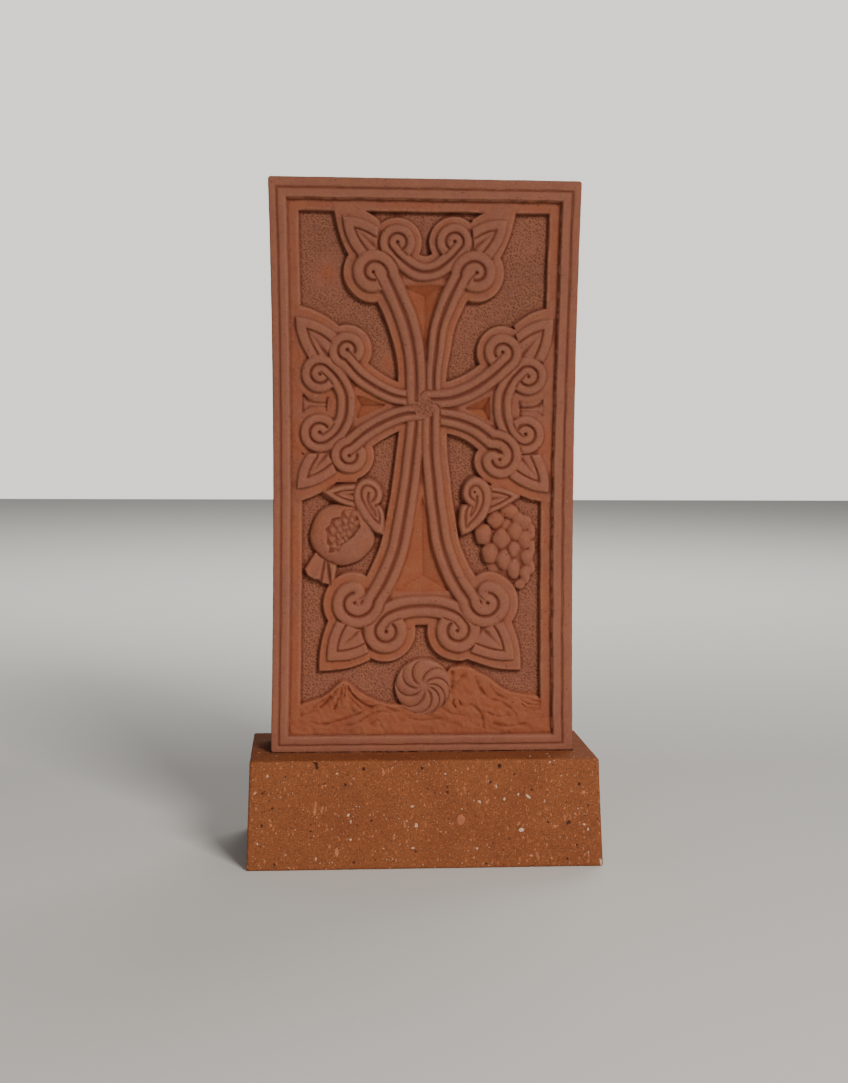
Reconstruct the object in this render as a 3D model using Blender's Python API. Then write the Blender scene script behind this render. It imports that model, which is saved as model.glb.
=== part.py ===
"""Khachkar: a small carved cross stone that stands on a stone block.

Metres, +Z up. The carved face looks along -Y. The origin is the centre of the block's underside.
"""

from math import atan2, hypot, radians

import bmesh
import bpy
import numpy as np

for leftover in list(bpy.data.objects):
    bpy.data.objects.remove(leftover, do_unlink=True)

# Driving sizes
SLAB_HEIGHT = 0.240
SLAB_TOP_WIDTH = 0.1304  # the widest place
WAIST_NARROWING = 0.0040  # how much narrower than the top the waist is
FOOT_NARROWING = 0.0018
SLAB_THICKNESS = 0.0284
WAIST_RISE = 0.112  # height of the narrowest place above the slab's foot

BASE_HEIGHT = 0.0444
BASE_SIDE_LEDGE = 0.0084  # shoulder of the block beside the slab
BASE_FRONT_LEDGE = 0.0162
BASE_BACK_LEDGE = 0.0162
BASE_SIDE_BATTER = 0.0014  # how far each side leans out on its way down
BASE_FRONT_BATTER = 0.0056
BASE_BACK_BATTER = 0.0056
BASE_ARRIS = 0.0009  # worn bevel along the block's edges
JOINT_GAP = 0.0003  # slab to block

SLAB_WAIST_WIDTH = SLAB_TOP_WIDTH - WAIST_NARROWING
SLAB_FOOT_WIDTH = SLAB_TOP_WIDTH - FOOT_NARROWING

# Depths below the face of the frame
BAND_DEPTH = 0.0010
PLATFORM_DEPTH = 0.0029
STRIP_DEPTH = 0.0031
GROUND_DEPTH = 0.0059
GROOVE_DEPTH = 0.00095  # the line that parts the two ribs of a band
EYE_DEPTH = 0.0014  # drilled point in the middle of a coil
GEM_DEPTH = 0.0026

# The carving is drawn in millimetres on a field of this size, and scales with the slab
FIELD_HEIGHT = 240.0
FIELD_WAIST = 126.4
UNIT_X = SLAB_WAIST_WIDTH / FIELD_WAIST
UNIT_Z = SLAB_HEIGHT / FIELD_HEIGHT
UNIT_Y = 0.001  # depths are drawn at full size

SAMPLE_PITCH = 0.55  # spacing of the first, fine net over the face, in drawn millimetres
STRIP_LINES = 8  # lines of that net along the flat strip inside the frame
FACE_TRIANGLES = 8900

FRAME = 0.0
BAND = -BAND_DEPTH / UNIT_Y
PLATFORM = -PLATFORM_DEPTH / UNIT_Y
STRIP = -STRIP_DEPTH / UNIT_Y
GROUND = -GROUND_DEPTH / UNIT_Y
GROOVE = -GROOVE_DEPTH / UNIT_Y
EYE = -EYE_DEPTH / UNIT_Y
GEM = -GEM_DEPTH / UNIT_Y
BELOW_ALL = GROUND - 3.0

# Frame: distance in from the slab's edge against height, in drawn millimetres
OUTER_RIB = 3.2
FRAME_GROOVE = 0.9
SECOND_RIB = 3.2
STRIP_WIDTH = 4.4
WALL_RUN = 0.6  # how far a cut wall leans out over its full drop
WALL_SLOPE = 1.6 * (BAND - PLATFORM) / WALL_RUN  # fall of the walls beside bands and leaves
WALL_REACH = 1.5  # a wall has gone under the ground before it is this far out

COUNTER, CLOCKWISE = 1, -1
CURVE_STEPS = 6
COIL_STEPS = 26
FAR = 99.0


# Curves

def smooth_curve(points, steps=CURVE_STEPS):
    """A smooth run through a few points."""
    knots = np.array([points[0], *points, points[-1]], float)
    run = []
    for before, start, end, after in zip(knots, knots[1:], knots[2:], knots[3:]):
        for t in np.linspace(0, 1, steps, endpoint=False):
            bend = (2 * before - 5 * start + 4 * end - after) * t * t
            twist = (3 * start - before - 3 * end + after) * t ** 3
            run.append(0.5 * (2 * start + (end - before) * t + bend + twist))
    run.append(knots[-1])
    return np.array(run)


def coil(eye, start, turn, sweep, radius):
    """A spiral about an eye that begins at start and closes in to a radius."""
    first_radius = hypot(start[0] - eye[0], start[1] - eye[1])
    first_angle = atan2(start[1] - eye[1], start[0] - eye[0])
    t = np.linspace(0, 1, COIL_STEPS)
    angle = first_angle + turn * radians(sweep) * t
    reach = radius + (first_radius - radius) * (1 - t) ** 2.4
    return np.column_stack([eye[0] + reach * np.cos(angle), eye[1] + reach * np.sin(angle)])


def bowed(start, end, away_from, sag):
    """A shallow curve from start to end that bulges away from a point."""
    start, end, away_from = (np.array(p, float) for p in (start, end, away_from))
    along = end - start
    across = np.array([-along[1], along[0]]) / np.hypot(*along)
    if np.dot(across, away_from - start) > 0:
        across = -across
    t = np.linspace(0, 1, 7)[:, None]
    return start + along * t + across * sag * 4 * t * (1 - t)


def vein(points, eye, reach, outer):
    """The inner edge of a band where it runs into the eye of its coil."""
    run = smooth_curve(points)
    heading = np.gradient(run, axis=0)
    across = np.column_stack([-heading[:, 1], heading[:, 0]]) / np.hypot(*heading.T)[:, None]
    if np.dot(across[-1], np.array(eye) - run[-1]) < 0:
        across = -across
    edge = run + across * reach
    near = edge[np.hypot(*(edge - eye).T) < outer]
    return smooth_curve([*near, eye], 2)


# Distances over the face

def nearness(x, z, path, reach, margin=10.0):
    """Distance to a path as a share of its reach: 0 on the line and 1 at the band's edge."""
    path = np.asarray(path, float)
    reach = np.broadcast_to(reach, len(path))
    share = np.full(x.shape, FAR)
    low, high = path.min(0) - margin, path.max(0) + margin
    near = (x > low[0]) & (x < high[0]) & (z > low[1]) & (z < high[1])
    px, pz, best = x[near], z[near], share[near]
    for (ax, az), (bx, bz), first, last in zip(path, path[1:], reach, reach[1:]):
        dx, dz = bx - ax, bz - az
        length = dx * dx + dz * dz
        if length < 1e-9:
            continue
        t = np.clip(((px - ax) * dx + (pz - az) * dz) / length, 0, 1)
        gap = np.hypot(px - ax - t * dx, pz - az - t * dz)
        best = np.minimum(best, gap / (first + (last - first) * t))
    share[near] = best
    return share


def distance(x, z, path, margin=30.0):
    return nearness(x, z, path, 1.0, margin)


def contains(x, z, outline):
    """Whether each point lies within a closed outline."""
    within = np.zeros(x.shape, bool)
    for (ax, az), (bx, bz) in zip(outline, np.roll(outline, -1, axis=0)):
        if az != bz:
            within ^= ((az > z) != (bz > z)) & (x < (bx - ax) * (z - az) / (bz - az) + ax)
    return within


def depth_inside(x, z, outline, margin=6.0):
    """How far each point lies in from a closed outline, negative outside it."""
    outline = np.asarray(outline, float)
    closed = np.vstack([outline, outline[:1]])
    gap = np.minimum(distance(x, z, closed, margin), FAR)
    return np.where(contains(x, z, outline), gap, -gap)


# Bands: pairs of ribs with a line between them, which end in coils

def stem(points, eye, turn, root, tip, sweep=280, radius=3.3):
    """A band that runs out along an arm and coils round one eye."""
    run = smooth_curve(points)
    loop = coil(eye, points[-1], turn, sweep, radius)
    joint = (root + 2 * tip) / 3
    reach = np.concatenate([np.linspace(root, joint, len(run) - 1), np.linspace(joint, tip, len(loop))])
    inner_edge = vein(points[-3:], eye, joint, radius + tip)
    return {"path": np.vstack([run[:-1], loop]), "reach": reach, "veins": [inner_edge], "eyes": [eye]}


def cap(eyes, points, turn, half, tip, sweep=280, radius=3.8):
    """The short band across an arm's end, which coils at both ends."""
    first = coil(eyes[0], points[0], -turn, sweep, radius)[::-1]
    last = coil(eyes[1], points[-1], turn, sweep, radius)
    run = smooth_curve(points)
    path = np.vstack([first[:-1], run, last[1:]])
    reach = np.concatenate([np.full(len(first) - 1, tip), np.full(len(run), half),
                            np.full(len(last) - 1, tip)])
    inner = 0.9 * half
    edges = [vein(points[3::-1], eyes[0], inner, radius + tip),
             vein(points[-4:], eyes[1], inner, radius + tip)]
    return {"path": path, "reach": reach, "veins": edges, "eyes": list(eyes)}


CAPS = [
    cap([(-11.7, 213.9), (12.0, 214.5)],
        [(-13.9, 210.8), (-10.6, 207), (-5.3, 203.1), (0, 201.8), (5.3, 203.2), (10.8, 207.4), (14.2, 211.3)],
        COUNTER, 3.6, 3.6, 290, 3.6),
    cap([(-43.8, 159.2), (-44.0, 135.0)],
        [(-40.9, 162.4), (-36.8, 158), (-33.4, 152), (-32.7, 147.2), (-33.4, 141), (-36.6, 134.8),
         (-40.5, 131.4)],
        CLOCKWISE, 3.6, 3.7),
    cap([(43.7, 158.8), (42.8, 134.6)],
        [(40.8, 162.2), (36.6, 157.6), (33.4, 151.5), (32.8, 146.5), (33.4, 141), (36, 134.8), (39.4, 131.2)],
        COUNTER, 3.6, 3.7),
    cap([(-15.9, 50.9), (14.5, 51.2)],
        [(-19.3, 54.4), (-15.8, 58.2), (-8.5, 61.0), (0, 61.8), (8, 61.1), (14.8, 58.4), (18.2, 54.9)],
        CLOCKWISE, 4.4, 4.6, 275, 4.2),
]

# Each arm has one stem that passes under its neighbour at the crossing and one that passes over
UNDER_STEMS = [
    stem([(-5, 149.3), (-12, 150.3), (-19.5, 153.3), (-27.5, 158.8), (-33.3, 165)],
         (-32.6, 169.3), CLOCKWISE, 3.0, 3.9),
    stem([(3.7, 150), (3.7, 160), (4.7, 170), (6.2, 180), (9.7, 190), (14.7, 200)],
         (21.35, 201.7), CLOCKWISE, 2.8, 4.7, 300),
    stem([(5, 142), (14.7, 140.3), (22.2, 137.2), (28.6, 132.6)],
         (31.9, 123.9), CLOCKWISE, 3.4, 4.0),
    stem([(-3.4, 141), (-4.4, 130), (-6.7, 110), (-10, 90), (-12.9, 80), (-16.8, 71), (-20.9, 64.3)],
         (-29.1, 63.1), CLOCKWISE, 3.6, 4.8, 270, 4.3),
]
OVER_STEMS = [
    stem([(-3.7, 148.5), (-3.7, 160), (-4.8, 170), (-7.1, 180), (-11, 190), (-15.7, 200)],
         (-21.8, 201.5), COUNTER, 3.9, 4.8, 300),
    stem([(1.5, 149), (11, 149.6), (20, 153.1), (28.2, 158.6), (34.5, 164.5)],
         (32.6, 168.9), COUNTER, 3.7, 4.0),
    stem([(2.9, 144), (2.7, 130), (4.5, 110), (7.4, 90), (10.4, 80), (14.9, 71), (19.3, 64.3)],
         (27.3, 63.1), COUNTER, 3.6, 4.8, 270, 4.3),
    stem([(-2, 143.4), (-8.8, 142.7), (-16.6, 139.8), (-24.2, 135.5), (-31.5, 129.5)],
         (-31.6, 125.3), COUNTER, 3.2, 3.9),
]
BANDS = CAPS + UNDER_STEMS + OVER_STEMS
PLATFORM_SHARE = 1.98  # the platform reaches this many half widths out from a band's middle line
HALF_BAND = 4.0

RIB_AT = [0, 0.10, 0.30, 0.55, 0.85, 1.0]
RIB_RISE = [GROOVE, 0.74 * GROOVE, 0.10 * GROOVE, 0, 0.13 * GROOVE, 0.47 * GROOVE]
CROSSING_LINE = 0.85 * GROOVE  # depth of the line that parts a band from one it passes over
CROSSING_SLOPE = 1.8


def lay_band(height, share, top=BAND, half=HALF_BAND):
    """Paints a band over what is there, with a fine line along it where it crosses another."""
    past_edge = (share - 1) * half
    beside = np.minimum(height, top + CROSSING_LINE + past_edge * CROSSING_SLOPE)
    wall = top + RIB_RISE[-1] - past_edge * WALL_SLOPE
    ribs = top + np.interp(share, RIB_AT, RIB_RISE)
    laid = np.where(share <= 1, ribs, np.maximum(beside, wall))
    return np.where(share < FAR / 2, laid, height)


# Leaves: tip, two side ends, foot between the coils, corner of the platform round it
LEAVES = [
    ((-34.6, 224), (-27.2, 207.3), (-19.2, 220.8), (-20.5, 211.5), (-39.2, 231)),
    ((34.3, 223.4), (27.2, 207.5), (19.2, 221), (20.5, 211.8), (39, 231)),
    ((-53.7, 182.8), (-48.3, 165.6), (-36.9, 175.8), (-41, 167.5), (-54, 188.2)),
    ((53.8, 182.8), (49.9, 165), (38, 176.7), (41, 167.5), (54, 188.2)),
    ((-53.3, 111.4), (-48.8, 126.1), (-36.9, 118.3), (-40.5, 126), (-54, 105.4)),
    ((52.7, 110), (49.1, 126.1), (36.3, 116.4), (40.2, 125.5), (54, 105)),
    ((-40.4, 38.8), (-36.5, 55.4), (-23.1, 42.3), (-27, 51.5), (-44.4, 33.6)),
    ((38.8, 38.8), (33.8, 55), (20.4, 42.3), (25.5, 51.8), (42.4, 33.6)),
]
LEAF_TOP = BAND - 0.25
LEAF_SAG = 1.4
LEAF_RIM = 4.1
LEAF_MARGIN = 4.0
CORNER_SAG = 1.5
RIM_AT = np.array([0, 0.09, 0.3, 0.63, 0.85, 1])  # shares of the rim's width, from the edge inwards
RIM_RISE = [-0.6, -0.15, 0, -0.1, -0.5, -1.3]
CREASE_DEPTH = 1.75
CREASE_SLOPE = 0.28


def leaf_outline(tip, end_a, end_b, foot, sag=LEAF_SAG):
    side_a = bowed(tip, end_a, foot, sag)
    side_b = bowed(end_b, tip, foot, sag)
    return np.vstack([side_a, [foot], side_b[:-1]])


def lay_leaf(x, z, height, leaf, rim=LEAF_RIM, top=LEAF_TOP, sag=LEAF_SAG):
    """A pointed leaf with a round rim and a hollow field that creases along its middle."""
    tip, end_a, end_b, foot = leaf
    inside = depth_inside(x, z, leaf_outline(tip, end_a, end_b, foot, sag), 3)
    edge = np.minimum(distance(x, z, bowed(tip, end_a, foot, sag)),
                      distance(x, z, bowed(end_b, tip, foot, sag)))
    crease = distance(x, z, [tip, foot])
    rise = np.interp(edge, RIM_AT * rim, RIM_RISE)
    field = np.maximum(RIM_RISE[-1] - (edge - rim), CREASE_SLOPE * np.clip(crease, 0, 3) - CREASE_DEPTH)
    carved = top + np.where(edge < rim, rise, field)
    wall = top + RIM_RISE[0] + inside * WALL_SLOPE
    return np.where(inside > 0, carved, np.maximum(height, np.where(inside > -WALL_REACH, wall, BELOW_ALL)))


def platform_leaf(leaf):
    """The flat ground that a leaf lies on: the same shape, one margin larger."""
    tip, end_a, end_b, foot, corner = leaf

    def grown(point):
        out = np.array(point, float) - foot
        return np.array(foot) + out * (1 + LEAF_MARGIN / np.hypot(*out))

    return leaf_outline(corner, grown(end_a), grown(end_b), foot, CORNER_SAG)


# Sunk gems between the stems: three corners and the point where the facets meet
GEMS = [
    ([(-8.5, 196.5), (7.5, 196.5), (0, 178)], (0.3, 192.9)),
    ([(-14, 146.8), (-28.5, 152.5), (-29, 140.5)], (-26, 147)),
    ([(15.5, 145.2), (27.5, 151), (27.5, 139.5)], (24.7, 145)),
    ([(-12, 68), (11.5, 68), (-0.6, 105)], (0, 74.6)),
]
GEM_LEDGE = 0.6


def sink_gem(x, z, height, corners, junction):
    facets = np.full(x.shape, BELOW_ALL)
    for start, end in zip(np.array(corners), np.roll(corners, -1, axis=0)):
        along = end - start
        inward = np.array([-along[1], along[0]]) / np.hypot(*along)
        if np.dot(inward, junction - start) < 0:
            inward = -inward
        run = (x - start[0]) * inward[0] + (z - start[1]) * inward[1]
        facets = np.maximum(facets, GEM * run / np.dot(inward, junction - start))
    return np.where(contains(x, z, np.array(corners)), PLATFORM - GEM_LEDGE + facets, height)


# Small scrolls under the side arms, drawn for the left and mirrored for the right
SCROLLS = [((-23.4, 109.6), 1), ((21.4, 110.4), -1)]
SCROLL_TOP = BAND - 0.3
SCROLL_RIB = 2.1
SCROLL_LINE = 0.8 * GROOVE
SCROLL_SLOPE = 4.0
SCROLL_REACH = 2.9  # half the width of the coil's band
COIL_START = (-3.6, -2.0)
COIL_SWEEP = 300
COIL_RADIUS = 2.6
SCROLL_EYE = 0.6
SIDE_RIM = 1.9
SIDE_SAG = 0.9
DROP_SIDE_A = [(-5.9, -0.5), (-4.6, -6.4), (-0.6, -12.5), (5.4, -17.2)]
DROP_SIDE_B = [(5.4, -17.2), (7.1, -11.5), (6.3, -6.5), (3.2, -4.6)]
SIDE_LEAF = [(-18.4, 0.4), (-6.1, -4.9), (-6.1, 3.4), (-6.0, -0.3)]


def lay_scroll(x, z, height, eye, hand):
    """A coil that ends below in a pointed drop, with one leaf beside it."""
    def placed(points):
        return [(eye[0] + hand * px, eye[1] + pz) for px, pz in points]

    height = lay_leaf(x, z, height, placed(SIDE_LEAF), SIDE_RIM, SCROLL_TOP - 0.3, SIDE_SAG)
    drop = np.vstack([smooth_curve(placed(DROP_SIDE_A)), smooth_curve(placed(DROP_SIDE_B))[1:]])
    inside = depth_inside(x, z, drop, 4)
    ribs = SCROLL_TOP + SCROLL_LINE * (1 - np.abs(np.sin(np.pi * inside / SCROLL_RIB)) ** 0.7)
    wall = np.where(inside > -WALL_REACH, SCROLL_TOP + SCROLL_LINE + inside * SCROLL_SLOPE, BELOW_ALL)
    height = np.where(inside > 0, ribs, np.maximum(height, wall))
    loop = coil(eye, placed([COIL_START])[0], -hand, COIL_SWEEP, COIL_RADIUS)
    height = lay_band(height, nearness(x, z, loop, SCROLL_REACH), SCROLL_TOP + 0.1, SCROLL_REACH)
    return drill(x, z, height, eye, SCROLL_EYE)


# Pomegranate at the left, with its crown below and its open side full of seeds
FRUIT = (-33.8, 92.0)
FRUIT_RADII = (13.6, 12.9)
OPENING = (-33.6, 94.2)
OPENING_RADII = (9.6, 5.8)
OPENING_TURN = radians(52)
SEED_PITCH = 3.1
CROWN_ROOT = (-40.6, 83.5)
CROWN_TIPS = [(-48.6, 77.8), (-45.3, 73.6), (-40.6, 74.0)]


def dome(share, rim, top):
    """A round swelling: rim at share 1 and top at share 0."""
    return rim + (top - rim) * np.sqrt(np.clip(1 - share ** 2, 0, 1))


def lay_pomegranate(x, z, height):
    for tip in CROWN_TIPS:
        petal = nearness(x, z, [CROWN_ROOT, tip], [2.0, 3.1])
        height = np.where(petal < 1, np.maximum(height, dome(petal, GROUND + 1.0, BAND - 1.3)), height)
    body = np.hypot((x - FRUIT[0]) / FRUIT_RADII[0], (z - FRUIT[1]) / FRUIT_RADII[1])
    height = np.where(body < 1, dome(body, GROUND + 1.2, BAND - 0.5), height)
    dx, dz = x - OPENING[0], z - OPENING[1]
    along = dx * np.cos(OPENING_TURN) + dz * np.sin(OPENING_TURN)
    across = dz * np.cos(OPENING_TURN) - dx * np.sin(OPENING_TURN)
    ragged = 1 + 0.08 * np.sin(9 * np.arctan2(across, along))
    opening = np.hypot(along / OPENING_RADII[0], across / OPENING_RADII[1]) / ragged
    row = np.round(across / (0.87 * SEED_PITCH))
    shift = along / SEED_PITCH + 0.5 * (row % 2)
    seed = np.hypot((shift - np.round(shift)) * SEED_PITCH, across - row * 0.87 * SEED_PITCH)
    seeds = dome(seed / (0.56 * SEED_PITCH), BAND - 2.6, BAND - 1.0)
    return np.where(opening < 1, seeds, height)


# Grapes at the right: rows of berries, each row as height, first place and count
GRAPE_ROWS = [(101, 29.8, 4), (94, 25.6, 5), (86.6, 28.2, 4), (80, 33.8, 3), (74.4, 38.2, 2)]
BERRY_PITCH = 5.1
BERRY = 3.6
BUNCH = (36.6, 88.6)
BUNCH_RADII = (12.2, 15.5)


def lay_grapes(x, z, height):
    bunch = np.hypot((x - BUNCH[0]) / BUNCH_RADII[0], (z - BUNCH[1]) / BUNCH_RADII[1])
    height = np.where(bunch < 1, np.maximum(height, dome(bunch, GROUND + 0.8, BAND - 2.3)), height)
    for row, (level, first, count) in enumerate(GRAPE_ROWS):
        for place in range(count):
            across = first + place * BERRY_PITCH
            up = level + (0.9 if (place + row) % 2 else -0.9)
            share = np.hypot(x - across, z - up) / BERRY
            berry = dome(share, GROUND + 0.9, BAND - 1.3 - 0.25 * (place % 2))
            height = np.where(share < 1, np.maximum(height, berry), height)
    return height


# Turning disc above the hills
DISC = (0.3, 28.0)
DISC_RADIUS = 11.8
DISC_BLADES = 11
DISC_TWIST = 1.5


def lay_disc(x, z, height):
    share = np.hypot(x - DISC[0], z - DISC[1]) / DISC_RADIUS
    angle = np.arctan2(z - DISC[1], x - DISC[0]) + DISC_TWIST * share
    blade = (angle * DISC_BLADES / (2 * np.pi)) % 1
    tilt = np.interp(blade, [0, 0.1, 0.55, 1], [-0.9, -0.35, 0, -0.25]) * np.clip(share * 2, 0.3, 1)
    carved = dome(share, GROUND + 2.0, BAND - 1.3) + tilt
    return np.where(share < 1, carved, height)


# Hills along the foot: the skyline, with the gullies that run down from each peak
SKYLINE = [(-60, 19), (-52, 20.5), (-45, 22.5), (-39, 26), (-33.8, 29.3), (-27, 25), (-20, 22), (-9, 19),
           (4, 19), (11, 30), (15, 35.4), (20, 37), (26, 34.6), (31, 30.6), (38, 26.8), (46, 24.2), (60, 22)]
PEAKS = [((-33.8, 29.3), 17), ((20, 37), 23)]
HILL_TOP = GROUND + 2.3
HILL_FOOT = GROUND + 3.7


def lay_hills(x, z, height):
    skyline = np.interp(x, *np.array(SKYLINE).T)
    below = skyline - z
    slope = HILL_TOP + (HILL_FOOT - HILL_TOP) * np.clip(below / 14, 0, 1)
    for peak, reach in PEAKS:
        span = np.hypot(x - peak[0], z - peak[1])
        fan = np.arctan2(x - peak[0], peak[1] - z + 2)
        gully = np.abs(np.sin(fan * 9 + 0.35 * np.sin(span * 0.9)))
        slope = slope - 0.75 * (1 - gully) ** 2 * np.clip(1.2 - span / reach, 0, 1) * np.clip(span / 4, 0, 1)
    rough = 0.16 * np.sin(0.7 * x + 1.7 * np.sin(0.45 * z)) * np.sin(0.6 * z - 0.2 * x)
    wall = slope + below / WALL_RUN * 2
    wall = np.where(below > -WALL_REACH, wall, BELOW_ALL)
    return np.maximum(height, np.where(below > 0, slope + rough, wall))


# Rough boss at the crossing, drilled points and frame
BOSS = (-0.5, 145.6)
BOSS_RADIUS = 3.9
EYE_RADIUS = 0.8


def drill(x, z, height, eye, radius=EYE_RADIUS):
    hole = np.hypot(x - eye[0], z - eye[1]) < radius
    return np.where(hole, np.minimum(height, BAND + EYE), height)


def half_width(z):
    """Half the slab's width at a height: waisted, wider to the top and to the foot."""
    waist = WAIST_RISE / UNIT_Z
    top = (SLAB_TOP_WIDTH - SLAB_WAIST_WIDTH) / UNIT_X
    foot = (SLAB_FOOT_WIDTH - SLAB_WAIST_WIDTH) / UNIT_X
    above = np.clip((z - waist) / (FIELD_HEIGHT - waist), 0, 1)
    beneath = np.clip((waist - z) / waist, 0, 1)
    return (FIELD_WAIST + top * above ** 2 + foot * beneath ** 2) / 2


def frame_profile():
    """Distances in from the edge, and the heights there."""
    rib_end = OUTER_RIB
    rib_start = rib_end + FRAME_GROOVE + 0.4
    step = rib_start + SECOND_RIB
    strip_start = step + WALL_RUN
    strip_end = strip_start + STRIP_WIDTH
    places = [0, 0.5, rib_end, rib_end + 0.4, rib_start - 0.4, rib_start, step - 0.4, step, strip_start,
              strip_end, strip_end + WALL_RUN]
    heights = [-0.5, FRAME, FRAME, GROOVE, GROOVE, -0.25, -0.3, -0.6, STRIP, STRIP, BELOW_ALL]
    return np.array(places), np.array(heights)


FRAME_PLACES, FRAME_HEIGHTS = frame_profile()
STEP_PLACE = OUTER_RIB + FRAME_GROOVE + 0.4 + SECOND_RIB + WALL_RUN  # foot of the step down to the strip


def relief(x, z):
    """Height of the carved face against the frame's face, in drawn millimetres."""
    shares = [nearness(x, z, band["path"], band["reach"]) for band in BANDS]
    platform = np.max([(PLATFORM_SHARE - share) * HALF_BAND for share in shares], axis=0)
    for leaf in LEAVES:
        platform = np.maximum(platform, depth_inside(x, z, platform_leaf(leaf)))
    height = GROUND + (PLATFORM - GROUND) * np.clip(platform / WALL_RUN, 0, 1)
    height = lay_pomegranate(x, z, height)
    height = lay_grapes(x, z, height)
    for eye, hand in SCROLLS:
        height = lay_scroll(x, z, height, eye, hand)
    for corners, junction in GEMS:
        height = sink_gem(x, z, height, corners, junction)
    for leaf in LEAVES:
        height = lay_leaf(x, z, height, leaf[:4])
    for share in shares:
        height = lay_band(height, share)
    for band in BANDS:
        for line in band["veins"]:
            height = np.minimum(height, BAND + GROOVE + 1.5 * distance(x, z, line, 3))
        for eye in band["eyes"]:
            height = drill(x, z, height, eye)
    boss = np.hypot(x - BOSS[0], z - BOSS[1]) / BOSS_RADIUS
    height = np.where(boss < 1, dome(boss, BAND - 0.5, BAND + 0.5), height)
    inset = np.minimum(half_width(z) - np.abs(x), np.minimum(z, FIELD_HEIGHT - z))
    border = np.interp(inset, FRAME_PLACES, FRAME_HEIGHTS)
    height = np.where(inset < STEP_PLACE, border, np.maximum(height, border))
    hills = lay_disc(x, z, lay_hills(x, z, height))
    return np.where(inset < STEP_PLACE, border, hills)


# Meshes

def stone(name, colour):
    """A dull mineral surface of one colour."""
    material = bpy.data.materials.new(name)
    material.use_nodes = True
    shader = material.node_tree.nodes["Principled BSDF"]
    shader.inputs["Base Color"].default_value = (*colour, 1)
    shader.inputs["Roughness"].default_value = 0.85
    shader.inputs["Metallic"].default_value = 0
    return material


def add_object(name, mesh, colour):
    mesh.materials.clear()
    mesh.materials.append(stone(name + "_stone", colour))
    made = bpy.data.objects.new(name, mesh)
    bpy.context.collection.objects.link(made)
    return made


def net_places(length):
    """Lines of the first net across a length: one on each frame line and even ones between."""
    start, end, after = FRAME_PLACES[-3:]
    count = int((length - 2 * after) / SAMPLE_PITCH)
    side = np.concatenate([FRAME_PLACES[:-3], np.linspace(start, end, STRIP_LINES)])
    return np.concatenate([side, np.linspace(after, length - after, count), length - side[::-1]])


def across_places(z):
    """The net's lines from side to side at a height: even steps between two whole frames."""
    places = net_places(FIELD_WAIST)
    half = half_width(z)
    inner = FRAME_PLACES[-1]
    middle = (places - FIELD_WAIST / 2) * (half - inner) / (FIELD_WAIST / 2 - inner)
    left = places - half
    right = half - (FIELD_WAIST - places)
    return np.where(places < inner, left, np.where(places > FIELD_WAIST - inner, right, middle))


def fine_face():
    """The carved face as a fine net of squares, before it is thinned."""
    up = net_places(FIELD_HEIGHT)
    x = np.array([across_places(z) for z in up])
    z = np.repeat(up[:, None], x.shape[1], axis=1)
    y = -SLAB_THICKNESS / 2 - relief(x, z) * UNIT_Y
    foot = BASE_HEIGHT + JOINT_GAP
    places = np.stack([x * UNIT_X, y, foot + z * UNIT_Z], axis=-1).reshape(-1, 3)
    number = np.arange(z.size).reshape(z.shape)
    squares = np.stack([number[:-1, :-1], number[:-1, 1:], number[1:, 1:], number[1:, :-1]], axis=-1)
    mesh = bpy.data.meshes.new("face")
    mesh.from_pydata(places.tolist(), [], squares.reshape(-1, 4).tolist())
    return mesh, 2 * len(squares.reshape(-1, 4))


def thinned(mesh, triangles, target):
    """The same surface with its triangles kept where the carving needs them."""
    holder = bpy.data.objects.new("face", mesh)
    bpy.context.collection.objects.link(holder)
    thin = holder.modifiers.new("thin", "DECIMATE")
    thin.ratio = target / triangles
    thin.use_collapse_triangulate = True
    scene_view = bpy.context.evaluated_depsgraph_get()
    result = bpy.data.meshes.new_from_object(holder.evaluated_get(scene_view))
    bpy.data.objects.remove(holder, do_unlink=True)
    return result


def make_slab():
    """The cross stone: the carved face, carried back to a plain flat back."""
    fine, triangles = fine_face()
    body = bmesh.new()
    body.from_mesh(thinned(fine, triangles, FACE_TRIANGLES))
    rim = [edge for edge in body.edges if edge.is_boundary]
    swept = bmesh.ops.extrude_edge_only(body, edges=rim)["geom"]
    for corner in (item for item in swept if isinstance(item, bmesh.types.BMVert)):
        corner.co.y = SLAB_THICKNESS / 2
    back = [edge for edge in body.edges if edge.is_boundary]
    bmesh.ops.holes_fill(body, edges=back)
    bmesh.ops.triangulate(body, faces=body.faces[:])
    bmesh.ops.recalc_face_normals(body, faces=body.faces[:])
    mesh = bpy.data.meshes.new("slab")
    body.to_mesh(mesh)
    body.free()
    return add_object("slab", mesh, (0.243, 0.095, 0.060))


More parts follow.
